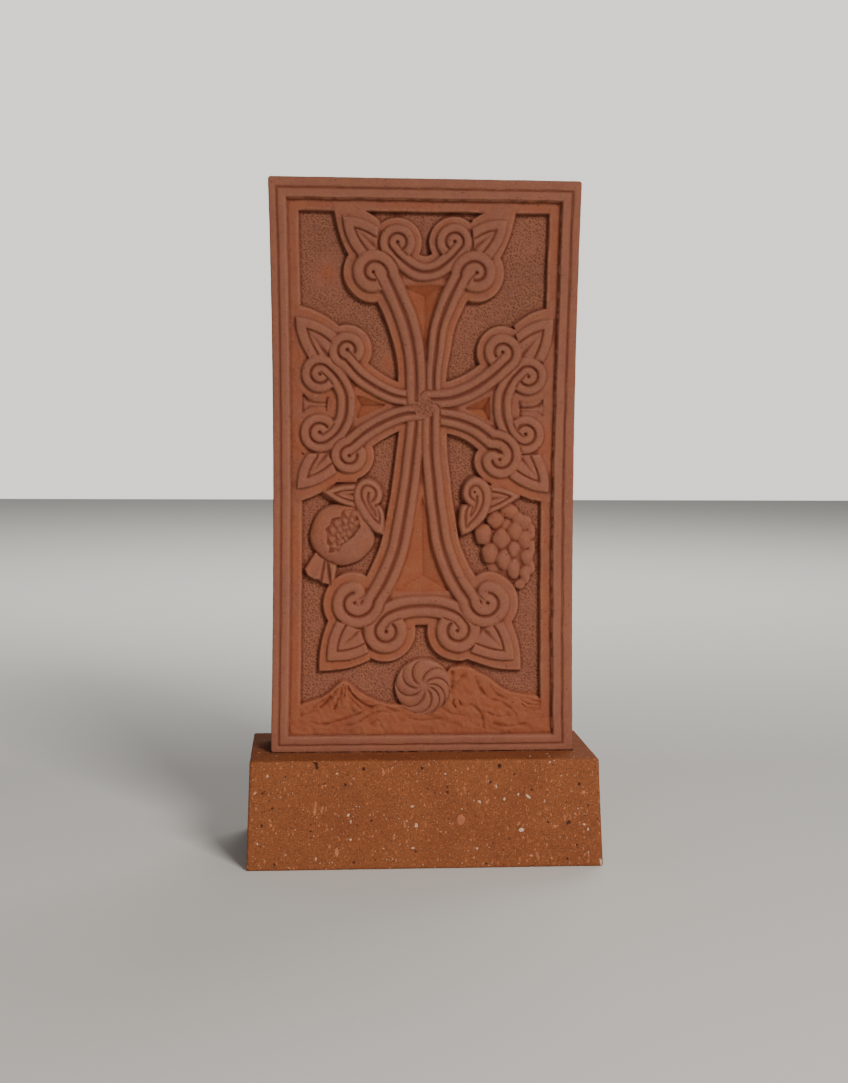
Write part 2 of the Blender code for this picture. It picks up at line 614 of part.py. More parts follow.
def make_base():
    """The block: a battered box a little larger than the slab's foot, with worn edges."""
    half_top = SLAB_FOOT_WIDTH / 2 + BASE_SIDE_LEDGE
    half_foot = half_top + BASE_SIDE_BATTER
    front_top = -SLAB_THICKNESS / 2 - BASE_FRONT_LEDGE
    back_top = SLAB_THICKNESS / 2 + BASE_BACK_LEDGE
    front_foot = front_top - BASE_FRONT_BATTER
    back_foot = back_top + BASE_BACK_BATTER
    corners = [(-half_foot, front_foot, 0), (half_foot, front_foot, 0),
               (half_foot, back_foot, 0), (-half_foot, back_foot, 0),
               (-half_top, front_top, BASE_HEIGHT), (half_top, front_top, BASE_HEIGHT),
               (half_top, back_top, BASE_HEIGHT), (-half_top, back_top, BASE_HEIGHT)]
    sides = [(3, 2, 1, 0), (4, 5, 6, 7), (0, 1, 5, 4), (1, 2, 6, 5), (2, 3, 7, 6), (3, 0, 4, 7)]
    body = bmesh.new()
    vertices = [body.verts.new(corner) for corner in corners]
    for side in sides:
        body.faces.new([vertices[index] for index in side])
    worn = [edge for edge in body.edges if max(v.co.z for v in edge.verts) > 0]
    bmesh.ops.bevel(body, geom=worn, offset=BASE_ARRIS, segments=2, profile=0.5, affect="EDGES")
    bmesh.ops.triangulate(body, faces=body.faces[:])
    bmesh.ops.recalc_face_normals(body, faces=body.faces[:])
    mesh = bpy.data.meshes.new("base")
    body.to_mesh(mesh)
    body.free()
    return add_object("base", mesh, (0.243, 0.071, 0.021))


make_base()
make_slab()
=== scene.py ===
# %% [markdown]
# # A small khachkar
#
# A khachkar is a carved cross stone. This one is a thin slab of red-brown tuff with a waisted outline, a
# double-ribbed frame and a cross whose arms are pairs of ribbons that end in coils. It stands on a sawn block of
# a more orange tuff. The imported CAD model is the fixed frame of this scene: each piece made here takes the place
# of one of its solids and rides on its one body.

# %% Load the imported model
from math import atan2, cos, hypot, pi, radians, sin

import bmesh
import bpy
import numpy as np
from mathutils import Matrix, Vector


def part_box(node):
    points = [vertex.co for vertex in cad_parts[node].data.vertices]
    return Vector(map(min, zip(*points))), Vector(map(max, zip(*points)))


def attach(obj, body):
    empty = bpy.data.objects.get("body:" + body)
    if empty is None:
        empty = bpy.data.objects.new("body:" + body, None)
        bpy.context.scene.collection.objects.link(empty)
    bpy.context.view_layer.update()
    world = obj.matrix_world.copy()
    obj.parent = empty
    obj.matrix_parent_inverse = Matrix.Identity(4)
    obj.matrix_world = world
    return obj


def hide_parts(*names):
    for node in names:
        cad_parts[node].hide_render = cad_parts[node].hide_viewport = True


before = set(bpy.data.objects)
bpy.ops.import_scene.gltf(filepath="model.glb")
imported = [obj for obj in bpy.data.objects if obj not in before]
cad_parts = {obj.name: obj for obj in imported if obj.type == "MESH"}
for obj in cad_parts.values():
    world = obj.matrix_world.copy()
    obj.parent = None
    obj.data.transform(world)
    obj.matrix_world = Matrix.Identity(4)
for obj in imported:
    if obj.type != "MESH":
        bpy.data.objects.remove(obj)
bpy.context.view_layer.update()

# %% [markdown]
# ## Sizes
#
# The carver draws the pattern on the slab's face before cutting it. The same is done here: the carving is drawn
# in millimetres, x from the slab's middle line and z from its foot, and depths are counted back from the face
# of the frame. Metres come in only when a mesh is made.

# %% Sizes of the slab and of its carving
MM = 0.001
SLAB_LOW, SLAB_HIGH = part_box("slab")
BLOCK_LOW, BLOCK_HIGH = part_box("base")
SLAB_FOOT = SLAB_LOW.z
FACE = SLAB_LOW.y  # the frame's face
BACK = SLAB_HIGH.y
HEIGHT = 240.0
TOP_WIDTH, WAIST_WIDTH, FOOT_WIDTH = 130.4, 126.4, 128.6
WAIST_RISE = 112.0

OUTER_RIB, FRAME_GROOVE, SECOND_RIB, STRIP_WIDTH = 3.2, 0.9, 3.2, 4.4
BAND, PLATFORM, STRIP, GROUND = -1.0, -2.9, -3.1, -5.9
GROOVE, EYE, GEM = -1.25, -1.4, -2.0
BELOW_ALL = GROUND - 3.0
WALL_RUN = 0.6
WALL_SLOPE = (BAND - PLATFORM) / 0.75
WALL_REACH = 1.5
FAR = 99.0
print("slab", round((SLAB_HIGH.z - SLAB_LOW.z) / MM, 1), "mm tall,", round((BACK - FACE) / MM, 1), "mm thick")

# %% [markdown]
# ## Curves
#
# Every ribbon of the cross is one curve: it runs out along an arm and closes in on a drilled point. A smooth run
# through a few points makes the arm, and a spiral whose radius shrinks quickly and then slowly makes the coil.

# %% Curves
COUNTER, CLOCKWISE = 1, -1


def smooth_curve(points, steps=8):
    knots = np.array([points[0], *points, points[-1]], float)
    run = []
    for before, start, end, after in zip(knots, knots[1:], knots[2:], knots[3:]):
        for t in np.linspace(0, 1, steps, endpoint=False):
            bend = (2 * before - 5 * start + 4 * end - after) * t * t
            twist = (3 * start - before - 3 * end + after) * t ** 3
            run.append(0.5 * (2 * start + (end - before) * t + bend + twist))
    run.append(knots[-1])
    return np.array(run)


def coil(eye, start, turn, sweep, radius, steps=36):
    first_radius = hypot(start[0] - eye[0], start[1] - eye[1])
    first_angle = atan2(start[1] - eye[1], start[0] - eye[0])
    t = np.linspace(0, 1, steps)
    angle = first_angle + turn * radians(sweep) * t
    reach = radius + (first_radius - radius) * (1 - t) ** 2.4
    return np.column_stack([eye[0] + reach * np.cos(angle), eye[1] + reach * np.sin(angle)])


def bowed(start, end, away_from, sag):
    """A shallow curve from start to end that bulges away from a point."""
    start, end, away_from = (np.array(p, float) for p in (start, end, away_from))
    along = end - start
    across = np.array([-along[1], along[0]]) / np.hypot(*along)
    if np.dot(across, away_from - start) > 0:
        across = -across
    t = np.linspace(0, 1, 13)[:, None]
    return start + along * t + across * sag * 4 * t * (1 - t)


def vein(points, eye, reach, outer):
    """The inner edge of a band where it runs into the eye of its coil."""
    run = smooth_curve(points)
    heading = np.gradient(run, axis=0)
    across = np.column_stack([-heading[:, 1], heading[:, 0]]) / np.hypot(*heading.T)[:, None]
    if np.dot(across[-1], np.array(eye) - run[-1]) < 0:
        across = -across
    edge = run + across * reach
    near = edge[np.hypot(*(edge - eye).T) < outer]
    return smooth_curve([*near, eye], 3)


print("a coil has", len(coil((0, 0), (4, 0), COUNTER, 280, 3)), "points")

# %% [markdown]
# ## A drawing board
#
# The carving is worked out on a board of even squares, a fifth of a millimetre each, and only later laid on the
# slab. Each feature touches its own small window of the board, which keeps the work short.
# The two measures that everything needs are the distance to a line and whether a point lies within an outline.

# %% The board and its measures
PITCH = 0.2
BOARD_X = np.arange(-66, 66 + PITCH / 2, PITCH)
BOARD_Z = np.arange(-1, HEIGHT + 1 + PITCH / 2, PITCH)
X, Z = np.meshgrid(BOARD_X, BOARD_Z)


def window(points, margin):
    """The rows and columns of the board within a margin of some points."""
    low = np.min(points, axis=0) - margin
    high = np.max(points, axis=0) + margin
    rows = slice(*np.searchsorted(BOARD_Z, (low[1], high[1])))
    columns = slice(*np.searchsorted(BOARD_X, (low[0], high[0])))
    return rows, columns


def nearness(x, z, path, reach):
    """Distance to a path as a share of its reach: 0 on the line and 1 at the band's edge."""
    path = np.asarray(path, float)
    reach = np.broadcast_to(reach, len(path))
    share = np.full(x.shape, FAR)
    for (ax, az), (bx, bz), first, last in zip(path, path[1:], reach, reach[1:]):
        dx, dz = bx - ax, bz - az
        length = dx * dx + dz * dz
        if length < 1e-9:
            continue
        t = np.clip(((x - ax) * dx + (z - az) * dz) / length, 0, 1)
        gap = np.hypot(x - ax - t * dx, z - az - t * dz)
        share = np.minimum(share, gap / (first + (last - first) * t))
    return share


def distance(x, z, path):
    return nearness(x, z, path, 1.0)


def contains(x, z, outline):
    within = np.zeros(x.shape, bool)
    for (ax, az), (bx, bz) in zip(outline, np.roll(outline, -1, axis=0)):
        if az != bz:
            within ^= ((az > z) != (bz > z)) & (x < (bx - ax) * (z - az) / (bz - az) + ax)
    return within


def depth_inside(x, z, outline):
    """How far each point lies in from a closed outline, negative outside it."""
    outline = np.asarray(outline, float)
    gap = distance(x, z, np.vstack([outline, outline[:1]]))
    return np.where(contains(x, z, outline), gap, -gap)


print("board of", X.shape[1], "by", X.shape[0], "squares")

# %% [markdown]
# ## The ribbons of the cross
#
# Each arm has two long stems and a short cap across its end. All of them are a pair of round ribs with a cut
# line between, so a single cross-section serves for all: it is looked up by the distance from the middle line,
# as a share of the ribbon's half width. In a coil the shares of neighbouring turns meet, and the spiral appears
# by itself.

# %% Ribbons
def stem(points, eye, turn, root, tip, sweep=280, radius=3.3):
    run = smooth_curve(points)
    loop = coil(eye, points[-1], turn, sweep, radius)
    joint = (root + 2 * tip) / 3
    reach = np.concatenate([np.linspace(root, joint, len(run) - 1), np.linspace(joint, tip, len(loop))])
    inner_edge = vein(points[-3:], eye, joint, radius + tip)
    return {"path": np.vstack([run[:-1], loop]), "reach": reach, "veins": [inner_edge], "eyes": [eye]}


def cap(eyes, points, turn, half, tip, sweep=280, radius=3.8):
    first = coil(eyes[0], points[0], -turn, sweep, radius)[::-1]
    last = coil(eyes[1], points[-1], turn, sweep, radius)
    run = smooth_curve(points)
    path = np.vstack([first[:-1], run, last[1:]])
    reach = np.concatenate([np.full(len(first) - 1, tip), np.full(len(run), half),
                            np.full(len(last) - 1, tip)])
    inner = 0.9 * half
    edges = [vein(points[3::-1], eyes[0], inner, radius + tip),
             vein(points[-4:], eyes[1], inner, radius + tip)]
    return {"path": path, "reach": reach, "veins": edges, "eyes": list(eyes)}


CAPS = [
    cap([(-11.7, 213.9), (12.0, 214.5)],
        [(-13.9, 210.8), (-10.6, 207), (-5.3, 203.1), (0, 201.8), (5.3, 203.2), (10.8, 207.4), (14.2, 211.3)],
        COUNTER, 3.6, 3.6, 290, 3.6),
    cap([(-43.8, 159.2), (-44.0, 135.0)],
        [(-40.9, 162.4), (-36.8, 158), (-33.4, 152), (-32.7, 147.2), (-33.4, 141), (-36.6, 134.8),
         (-40.5, 131.4)],
        CLOCKWISE, 3.6, 3.7),
    cap([(43.7, 158.8), (42.8, 134.6)],
        [(40.8, 162.2), (36.6, 157.6), (33.4, 151.5), (32.8, 146.5), (33.4, 141), (36, 134.8), (39.4, 131.2)],
        COUNTER, 3.6, 3.7),
    cap([(-15.9, 50.9), (14.5, 51.2)],
        [(-19.3, 54.4), (-15.8, 58.2), (-8.5, 61.0), (0, 61.8), (8, 61.1), (14.8, 58.4), (18.2, 54.9)],
        CLOCKWISE, 4.4, 4.6, 275, 4.2),
]

# Each arm has one stem that passes under its neighbour at the crossing and one that passes over
UNDER_STEMS = [
    stem([(-5, 149.3), (-12, 150.3), (-19.5, 153.3), (-27.5, 158.8), (-33.3, 165)],
         (-32.6, 169.3), CLOCKWISE, 3.0, 3.9),
    stem([(3.7, 150), (3.7, 160), (4.7, 170), (6.2, 180), (9.7, 190), (14.7, 200)],
         (21.35, 201.7), CLOCKWISE, 2.8, 4.7, 300),
    stem([(5, 142), (14.7, 140.3), (22.2, 137.2), (28.6, 132.6)],
         (31.9, 123.9), CLOCKWISE, 3.4, 4.0),
    stem([(-3.4, 141), (-4.4, 130), (-6.7, 110), (-10, 90), (-12.9, 80), (-16.8, 71), (-20.9, 64.3)],
         (-29.1, 63.1), CLOCKWISE, 3.6, 4.8, 270, 4.3),
]
OVER_STEMS = [
    stem([(-3.7, 148.5), (-3.7, 160), (-4.8, 170), (-7.1, 180), (-11, 190), (-15.7, 200)],
         (-21.8, 201.5), COUNTER, 3.9, 4.8, 300),
    stem([(1.5, 149), (11, 149.6), (20, 153.1), (28.2, 158.6), (34.5, 164.5)],
         (32.6, 168.9), COUNTER, 3.7, 4.0),
    stem([(2.9, 144), (2.7, 130), (4.5, 110), (7.4, 90), (10.4, 80), (14.9, 71), (19.3, 64.3)],
         (27.3, 63.1), COUNTER, 3.6, 4.8, 270, 4.3),
    stem([(-2, 143.4), (-8.8, 142.7), (-16.6, 139.8), (-24.2, 135.5), (-31.5, 129.5)],
         (-31.6, 125.3), COUNTER, 3.2, 3.9),
]
BANDS = CAPS + UNDER_STEMS + OVER_STEMS
HALF_BAND = 4.0
PLATFORM_SHARE = 1.98

RIB_AT = np.array([0, 0.05, 0.11, 0.19, 0.34, 0.55, 0.76, 0.90, 1.0])
COIL_RISE = np.array([1.10, 1.00, 0.55, 0.20, 0.03, 0, 0.05, 0.20, 0.50])  # shares of the groove's depth
STEM_RISE = np.array([1.05, 1.00, 0.84, 0.44, 0.06, 0, 0.08, 0.30, 0.68])
OPEN_FROM, OPEN_OVER = 7.0, 9.0  # the groove opens out over this run from the eye
CROSSING_LINE = 0.85 * GROOVE
CROSSING_SLOPE = 1.8


def lay_band(height, share, spread, top=BAND, half=HALF_BAND):
    """Paints a ribbon over what is there, with a fine line along it where it crosses another."""
    past_edge = (share - 1) * half
    beside = np.minimum(height, top + CROSSING_LINE + past_edge * CROSSING_SLOPE)
    closed, opened = (np.interp(share, RIB_AT, rise) for rise in (COIL_RISE, STEM_RISE))
    ribs = top + GROOVE * (closed + (opened - closed) * spread)
    foot = top + GROOVE * (COIL_RISE[-1] + (STEM_RISE[-1] - COIL_RISE[-1]) * spread)
    laid = np.where(share <= 1, ribs, np.maximum(beside, foot - past_edge * WALL_SLOPE))
    return np.where(share < 8, laid, height)


def spread_of(band, x, z):
    """How far the ribbon's groove has opened out at each place: 0 in a coil and 1 along a stem."""
    nearest = np.min([np.hypot(x - eye[0], z - eye[1]) for eye in band["eyes"]], axis=0)
    return np.clip((nearest - OPEN_FROM) / OPEN_OVER, 0, 1)


print(len(BANDS), "ribbons,", sum(len(band["eyes"]) for band in BANDS), "coils")

# %% [markdown]
# ## Leaves, gems, scrolls and fruit
#
# A pointed leaf with a round rim and a hollow field sticks out between each pair of coils. Between the stems the
# carver sank four long facetted hollows, like cut gems. Under the side arms hang a pomegranate and a bunch of
# grapes from small scrolls, and at the foot a turning disc stands over two hills. Each is a height by a rule:
# a rim by the distance from an edge, facets as planes that meet, fruit as domes, blades by the angle round a
# middle.

# %% Leaves
LEAVES = [  # tip, two side ends, foot between the coils, corner of the platform round it
    ((-34.6, 224), (-27.2, 207.3), (-19.6, 219.8), (-20.5, 211.5), (-39.2, 231)),
    ((34.3, 223.4), (27.2, 207.5), (19.6, 220), (20.5, 211.8), (39, 231)),
    ((-53.7, 182.8), (-48.3, 165.6), (-36.9, 175.8), (-41, 167.5), (-54, 188.2)),
    ((53.8, 182.8), (49.9, 165), (38, 176.7), (41, 167.5), (54, 188.2)),
    ((-53.3, 111.4), (-48.8, 126.1), (-36.9, 118.3), (-40.5, 126), (-54, 105.4)),
    ((52.7, 110), (49.1, 126.1), (36.3, 116.4), (40.2, 125.5), (54, 105)),
    ((-40.4, 38.8), (-36.5, 55.4), (-23.1, 42.3), (-27, 51.5), (-44.4, 33.6)),
    ((38.8, 38.8), (33.8, 55), (20.4, 42.3), (25.5, 51.8), (42.4, 33.6)),
]
LEAF_TOP = BAND - 0.25
LEAF_SAG, LEAF_RIM, LEAF_MARGIN, CORNER_SAG = 1.4, 4.1, 4.0, 1.5
RIM_AT = np.array([0, 0.09, 0.3, 0.63, 0.85, 1])
RIM_RISE = [-0.6, -0.15, 0, 0, -0.08, -0.2]
FIELD_TOP, FIELD_CUT, CUT_WIDTH = -0.3, 1.0, 0.40  # a line parts the field from the rim
CREASE_DEPTH, CREASE_SHARE = 1.2, 0.72  # the crease runs this share of the way out from the foot


def leaf_outline(tip, end_a, end_b, foot, sag=LEAF_SAG):
    return np.vstack([bowed(tip, end_a, foot, sag), [foot], bowed(end_b, tip, foot, sag)[:-1]])


def lay_leaf(x, z, height, leaf, rim=LEAF_RIM, top=LEAF_TOP, sag=LEAF_SAG):
    tip, end_a, end_b, foot = leaf[:4]
    inside = depth_inside(x, z, leaf_outline(tip, end_a, end_b, foot, sag))
    edge = np.minimum(distance(x, z, bowed(tip, end_a, foot, sag)),
                      distance(x, z, bowed(end_b, tip, foot, sag)))
    crease = distance(x, z, [tip, foot])
    rise = np.interp(edge, RIM_AT * rim, RIM_RISE)
    length = hypot(tip[0] - foot[0], tip[1] - foot[1]) * CREASE_SHARE
    near = np.clip(1 - np.hypot(x - foot[0], z - foot[1]) / length, 0, 1)
    fold = CREASE_DEPTH * near * np.clip(1 - crease / (0.35 + 0.9 * near), 0, 1)
    line = FIELD_CUT * np.exp(-((edge - rim) / CUT_WIDTH) ** 2)
    carved = top + np.where(edge < rim, rise, FIELD_TOP - fold) - line
    wall = top + RIM_RISE[0] + inside * WALL_SLOPE
    return np.where(inside > 0, carved, np.maximum(height, np.where(inside > -WALL_REACH, wall, BELOW_ALL)))


def platform_leaf(leaf):
    """The flat ground that a leaf lies on: the same shape, one margin larger."""
    tip, end_a, end_b, foot, corner = leaf

    def grown(point):
        out = np.array(point, float) - foot
        return np.array(foot) + out * (1 + LEAF_MARGIN / np.hypot(*out))

    return leaf_outline(corner, grown(end_a), grown(end_b), foot, CORNER_SAG)


print(len(LEAVES), "leaves")

# %% Gems and scrolls
GEMS = [  # three corners and the point where the facets meet
    ([(-9.6, 196.2), (8.6, 196.2), (0, 169)], (0.2, 191.8)),
    ([(-16, 146.5), (-28.4, 150.4), (-28.4, 140.8)], (-26.1, 146.4)),
    ([(17, 145.3), (27.8, 150.4), (27.8, 140.0)], (25.2, 145.1)),
    ([(-12, 68), (11.5, 68), (-0.6, 108)], (0, 74.6)),
]
GEM_LEDGE, GEM_LINE = 0.4, 0.22


def sink_gem(x, z, height, corners, junction):
    facets = np.full(x.shape, BELOW_ALL)
    for start, end in zip(np.array(corners), np.roll(corners, -1, axis=0)):
        along = end - start
        inward = np.array([-along[1], along[0]]) / np.hypot(*along)
        if np.dot(inward, junction - start) < 0:
            inward = -inward
        run = (x - start[0]) * inward[0] + (z - start[1]) * inward[1]
        facets = np.maximum(facets, GEM * run / np.dot(inward, junction - start))
    gap = np.min([distance(x, z, [junction, corner]) for corner in corners], axis=0)
    facets = facets - GEM_LINE * np.exp(-(gap / 0.45) ** 2)
    return np.where(contains(x, z, np.array(corners)), PLATFORM - GEM_LEDGE + facets, height)


SCROLL_TOP = BAND - 0.3
SCROLL_LINE, SCROLL_SLOPE = 1.0, 4.0
LINE_AT, LINE_RISE = [0, 0.25, 0.55, 1.0, 1.4], [1, 0.8, 0.32, 0.06, 0]
SCROLL_EYE, SIDE_RIM, SIDE_SAG = 0.6, 2.1, 0.9
SCROLLS = [  # eye, outline in two runs, cut lines, and the leaf beside it: tip, two ends, foot
    {"eye": (-23.4, 109.5),
     "outline": [[(-17.3, 92.3), (-20.8, 93.6), (-24.3, 97.2), (-27.2, 101.2), (-29.1, 105.2), (-29.5, 109.2),
                  (-28.4, 112.6), (-26, 114.9), (-23.2, 115.4), (-20.3, 114), (-18.3, 111.3), (-17.9, 108.4),
                  (-19, 105.6), (-20.6, 104.4)],
                 [(-20.6, 104.4), (-19.2, 104.3), (-17.6, 102.3), (-16.9, 99.3), (-16.9, 95.8),
                  (-17.3, 92.3)]],
     "lines": [[(-20.2, 104.2), (-19.1, 101.5), (-18.7, 98.8), (-18.9, 97)],
               [(-18.9, 97), (-20.8, 98.5), (-23.2, 101.6), (-25.2, 105), (-26.4, 108), (-26.3, 110.8),
                (-24.9, 112.5), (-22.8, 112.5), (-21, 111.2), (-20.4, 109.3), (-21, 107.2), (-22.3, 105.9)],
               [(-23.4, 109.5), (-23.8, 107.6), (-23.4, 105.4), (-22.3, 103), (-21.2, 101.2), (-20.6, 100)],
               [(-21.6, 103.2), (-20.9, 101.7), (-20.4, 100)]],
     "leaf": [(-42, 109.7), (-29, 112.9), (-28.6, 103.8), (-29.6, 109)]},
    {"eye": (21.4, 110.1),
     "outline": [[(16.3, 92.2), (19.8, 93.5), (23.5, 96.5), (26.3, 100), (28, 104), (28.6, 108), (28, 111.6),
                  (26.2, 114.2), (23.4, 115.9), (20.5, 116), (18, 114.2), (16.6, 111.2), (16.8, 108),
                  (18.4, 105.2), (19.8, 104.2)],
                 [(19.8, 104.2), (17.8, 104.6), (15.7, 103.4), (15, 100), (15, 96), (16.3, 92.2)]],
     "lines": [[(18.8, 104.2), (17.9, 102.3), (17.5, 99.6), (17.6, 97), (18, 95.2)],
               [(18, 95.2), (19.4, 97), (21.6, 99.2), (23.2, 101.7), (24.6, 104.7), (25, 108), (24.4, 110.6),
                (23, 112.4), (21.2, 112.8), (19.7, 111.6), (19.2, 109.6), (20, 107.7), (21.9, 106.4)],
               [(22.4, 108.4), (22.3, 105.6), (21.8, 103.8), (20.9, 101.8), (19.7, 100)],
               [(20.6, 103.6), (20.1, 101.8), (19.7, 100)]],
     "leaf": [(40.4, 108.5), (27.6, 112.5), (26.8, 101.2), (28.2, 107.2)]},
]


def drill(x, z, height, eye, radius=0.8):
    """A conical hole with a soft lip."""
    hole = np.hypot(x - eye[0], z - eye[1]) / radius
    return np.where(hole < 1, np.minimum(height, BAND + EYE * np.clip(1.4 - hole, 0, 1)), height)


def lay_scroll(x, z, height, scroll):
    """A ribbon that coils at its upper end and folds over in a drop below, with one leaf beside it."""
    height = lay_leaf(x, z, height, scroll["leaf"], SIDE_RIM, SCROLL_TOP - 0.3, SIDE_SAG)
    outline = np.vstack([smooth_curve(run, 5)[:-1] for run in scroll["outline"]])
    inside = depth_inside(x, z, outline)
    gap = np.min([distance(x, z, smooth_curve(line, 5)) for line in scroll["lines"]], axis=0)
    ribs = SCROLL_TOP - SCROLL_LINE * np.interp(gap, LINE_AT, LINE_RISE)
    ribs = ribs - 0.8 * np.clip(1 - inside / 1.2, 0, 1) ** 2
    wall = np.where(inside > -WALL_REACH, SCROLL_TOP - 0.8 + inside * SCROLL_SLOPE, BELOW_ALL)
    beside = np.where(inside > -0.8, np.minimum(height, SCROLL_TOP - 1.3 - inside), height)
    height = np.where(inside > 0, ribs, np.maximum(beside, wall))
    return drill(x, z, height, scroll["eye"], SCROLL_EYE)


print(len(GEMS), "gems,", len(SCROLLS), "scrolls")

# %% Pomegranate and grapes
FRUIT, FRUIT_RADII = (-34.2, 92.2), (13.7, 13.2)
OPENING = [(-28.8, 103), (-33.8, 102.7), (-34.8, 101.3), (-35, 99.7), (-38.7, 98.7), (-39.6, 96.1),
    (-41.4, 94.3),
           (-40.7, 92.8), (-40.6, 88.1), (-39.6, 87.2), (-40.1, 84.5), (-36.1, 85.2), (-34.5, 87.8),
           (-29.8, 91.3), (-26.9, 95.4), (-27.9, 99.4)]
SEEDS = [(-32.2, 100.6, 1.35), (-29.3, 100.6, 1.3), (-33.0, 97.7, 1.25), (-30.4, 98.1, 1.15),
    (-28.4, 97.0, 1.25),
         (-36.4, 96.8, 1.45), (-38.3, 93.6, 1.4), (-35.4, 94.1, 1.2), (-32.9, 94.9, 1.2), (-31.4, 92.4, 1.35),
         (-33.9, 92.2, 1.2), (-38.6, 90.0, 1.35), (-35.9, 91.3, 1.1), (-34.9, 89.0, 1.35), (-37.9, 87.2, 1.2),
         (-32.6, 90.2, 1.0), (-35.8, 86.7, 1.15), (-30.6, 95.6, 1.1), (-37.0, 85.2, 0.9)]
SEED_SPREAD = 1.22
CROWN = [(-45.6, 84.2), (-48, 80.6), (-50, 77.6), (-48.8, 75.2), (-46.2, 73.4), (-44.2, 73.1), (-42.6, 71.6),
         (-40.6, 71.2), (-38.6, 70.6), (-37.4, 74), (-36.9, 77), (-36.8, 79.6), (-39, 82.5)]
CROWN_ROOT = (-41, 84.5)
CROWN_FOLDS = [(-43.4, 72.2), (-39.2, 70)]
CROWN_HOLLOWS = [(-46.8, 75.4), (-41, 71.6)]
BERRIES = [(25.4, 92.2, 3.7, 4.7, 0), (28.2, 84.1, 3.6, 4.7, 0), (33.1, 90.2, 4.0, 4.5, 0),
    (30.5, 98.4, 3.7, 3.9, 0),
           (36.4, 102, 3.9, 3.2, -0.5), (38.8, 93.6, 3.2, 4.1, -0.3), (34, 81.4, 3.3, 4.6, -0.2),
           (38.6, 85.8, 2.6, 3.7, -0.5), (43.2, 97.2, 2.9, 3.4, -0.9), (42.9, 89.9, 2.9, 3.9, -0.8),
           (44.2, 82.3, 2.7, 3.7, -0.9), (38.4, 77.5, 3.0, 4.4, -0.5), (43.4, 75, 2.6, 3.9, -0.8),
           (40.3, 98.6, 2.6, 2.8, -0.9), (46, 93.4, 1.9, 3.4, -1.5), (46.3, 86.5, 1.7, 3.3, -1.6),
           (46.2, 78.4, 1.6, 3.2, -1.6), (41.3, 70.8, 2.4, 2.4, -1.3)]
BUNCH, BUNCH_RADII = (36.4, 87), (11.2, 16.0)


def dome(share, rim, top):
    """A round swelling: rim at share 1 and top at share 0."""
    return rim + (top - rim) * np.sqrt(np.clip(1 - share ** 2, 0, 1))


def lay_pomegranate(x, z, height):
    crown = depth_inside(x, z, CROWN)
    spread = np.hypot(x - CROWN_ROOT[0], z - CROWN_ROOT[1]) / 14
    fold = np.min([distance(x, z, [CROWN_ROOT, end]) for end in CROWN_FOLDS], axis=0)
    hollow = np.min([distance(x, z, [CROWN_ROOT, end]) for end in CROWN_HOLLOWS], axis=0)
    spread = np.clip(spread, 0, 1)
    lobes = BAND - 2.2 + 1.1 * spread - 1.3 * np.exp(-(fold / 0.6) ** 2) + 0.5 * np.clip(crown, 0, 1)
    lobes = lobes - 0.9 * spread * np.exp(-(hollow / 1.6) ** 2)
    skirt = np.where(crown > -0.6, GROUND + 5 * (crown + 0.6), BELOW_ALL)
    height = np.where(crown > 0, lobes, np.maximum(height, skirt))
    turn = np.arctan2(z - FRUIT[1], x - FRUIT[0])
    body = np.hypot((x - FRUIT[0]) / FRUIT_RADII[0], (z - FRUIT[1]) / FRUIT_RADII[1])
    body = body * (1 + 0.012 * np.sin(5 * turn) + 0.008 * np.sin(9 * turn + 1))
    planes = 0.16 * np.sin(0.55 * x + 0.3 * z) * np.sin(0.45 * z - 0.25 * x)
    height = np.where(body < 1, dome(body ** 2.2, GROUND + 1.4, BAND - 0.5) + planes, height)
    opening = depth_inside(x, z, OPENING)
    seeds = np.full(x.shape, BAND - 1.95)
    bent_x, bent_z = x + 0.25 * np.sin(1.7 * z + x), z + 0.25 * np.sin(1.9 * x - 0.7 * z)
    for across, up, radius in SEEDS:
        share = np.hypot(bent_x - across, bent_z - up) / (SEED_SPREAD * radius)
        seeds = np.maximum(seeds, dome(share, BAND - 2.1, BAND - 1.1) - 0.25 * share)
    lip = height - 0.3 * np.clip(1 + opening / 0.5, 0, 1)
    return np.where(opening > 0, np.minimum(seeds, height - 0.2), np.where(opening > -0.5, lip, height))


def lay_grapes(x, z, height):
    x, z = x + 0.22 * np.sin(0.9 * z + 0.5 * x), z + 0.22 * np.sin(1.1 * x - 0.4 * z)  # not quite round
    bunch = np.hypot((x - BUNCH[0]) / BUNCH_RADII[0], (z - BUNCH[1]) / BUNCH_RADII[1])
    height = np.where(bunch < 1, np.maximum(height, dome(bunch, GROUND + 0.4, BAND - 2.9)), height)
    for across, up, wide, tall, sunk in BERRIES:
        share = np.hypot((x - across) / wide, (z - up) / tall)
        berry = dome(share, GROUND + 2.0, BAND - 0.8 + sunk) - 0.3 * share
        height = np.where(share < 1, np.maximum(height, berry), height)
    return height


print(len(BERRIES), "grapes and", len(SEEDS), "seeds")

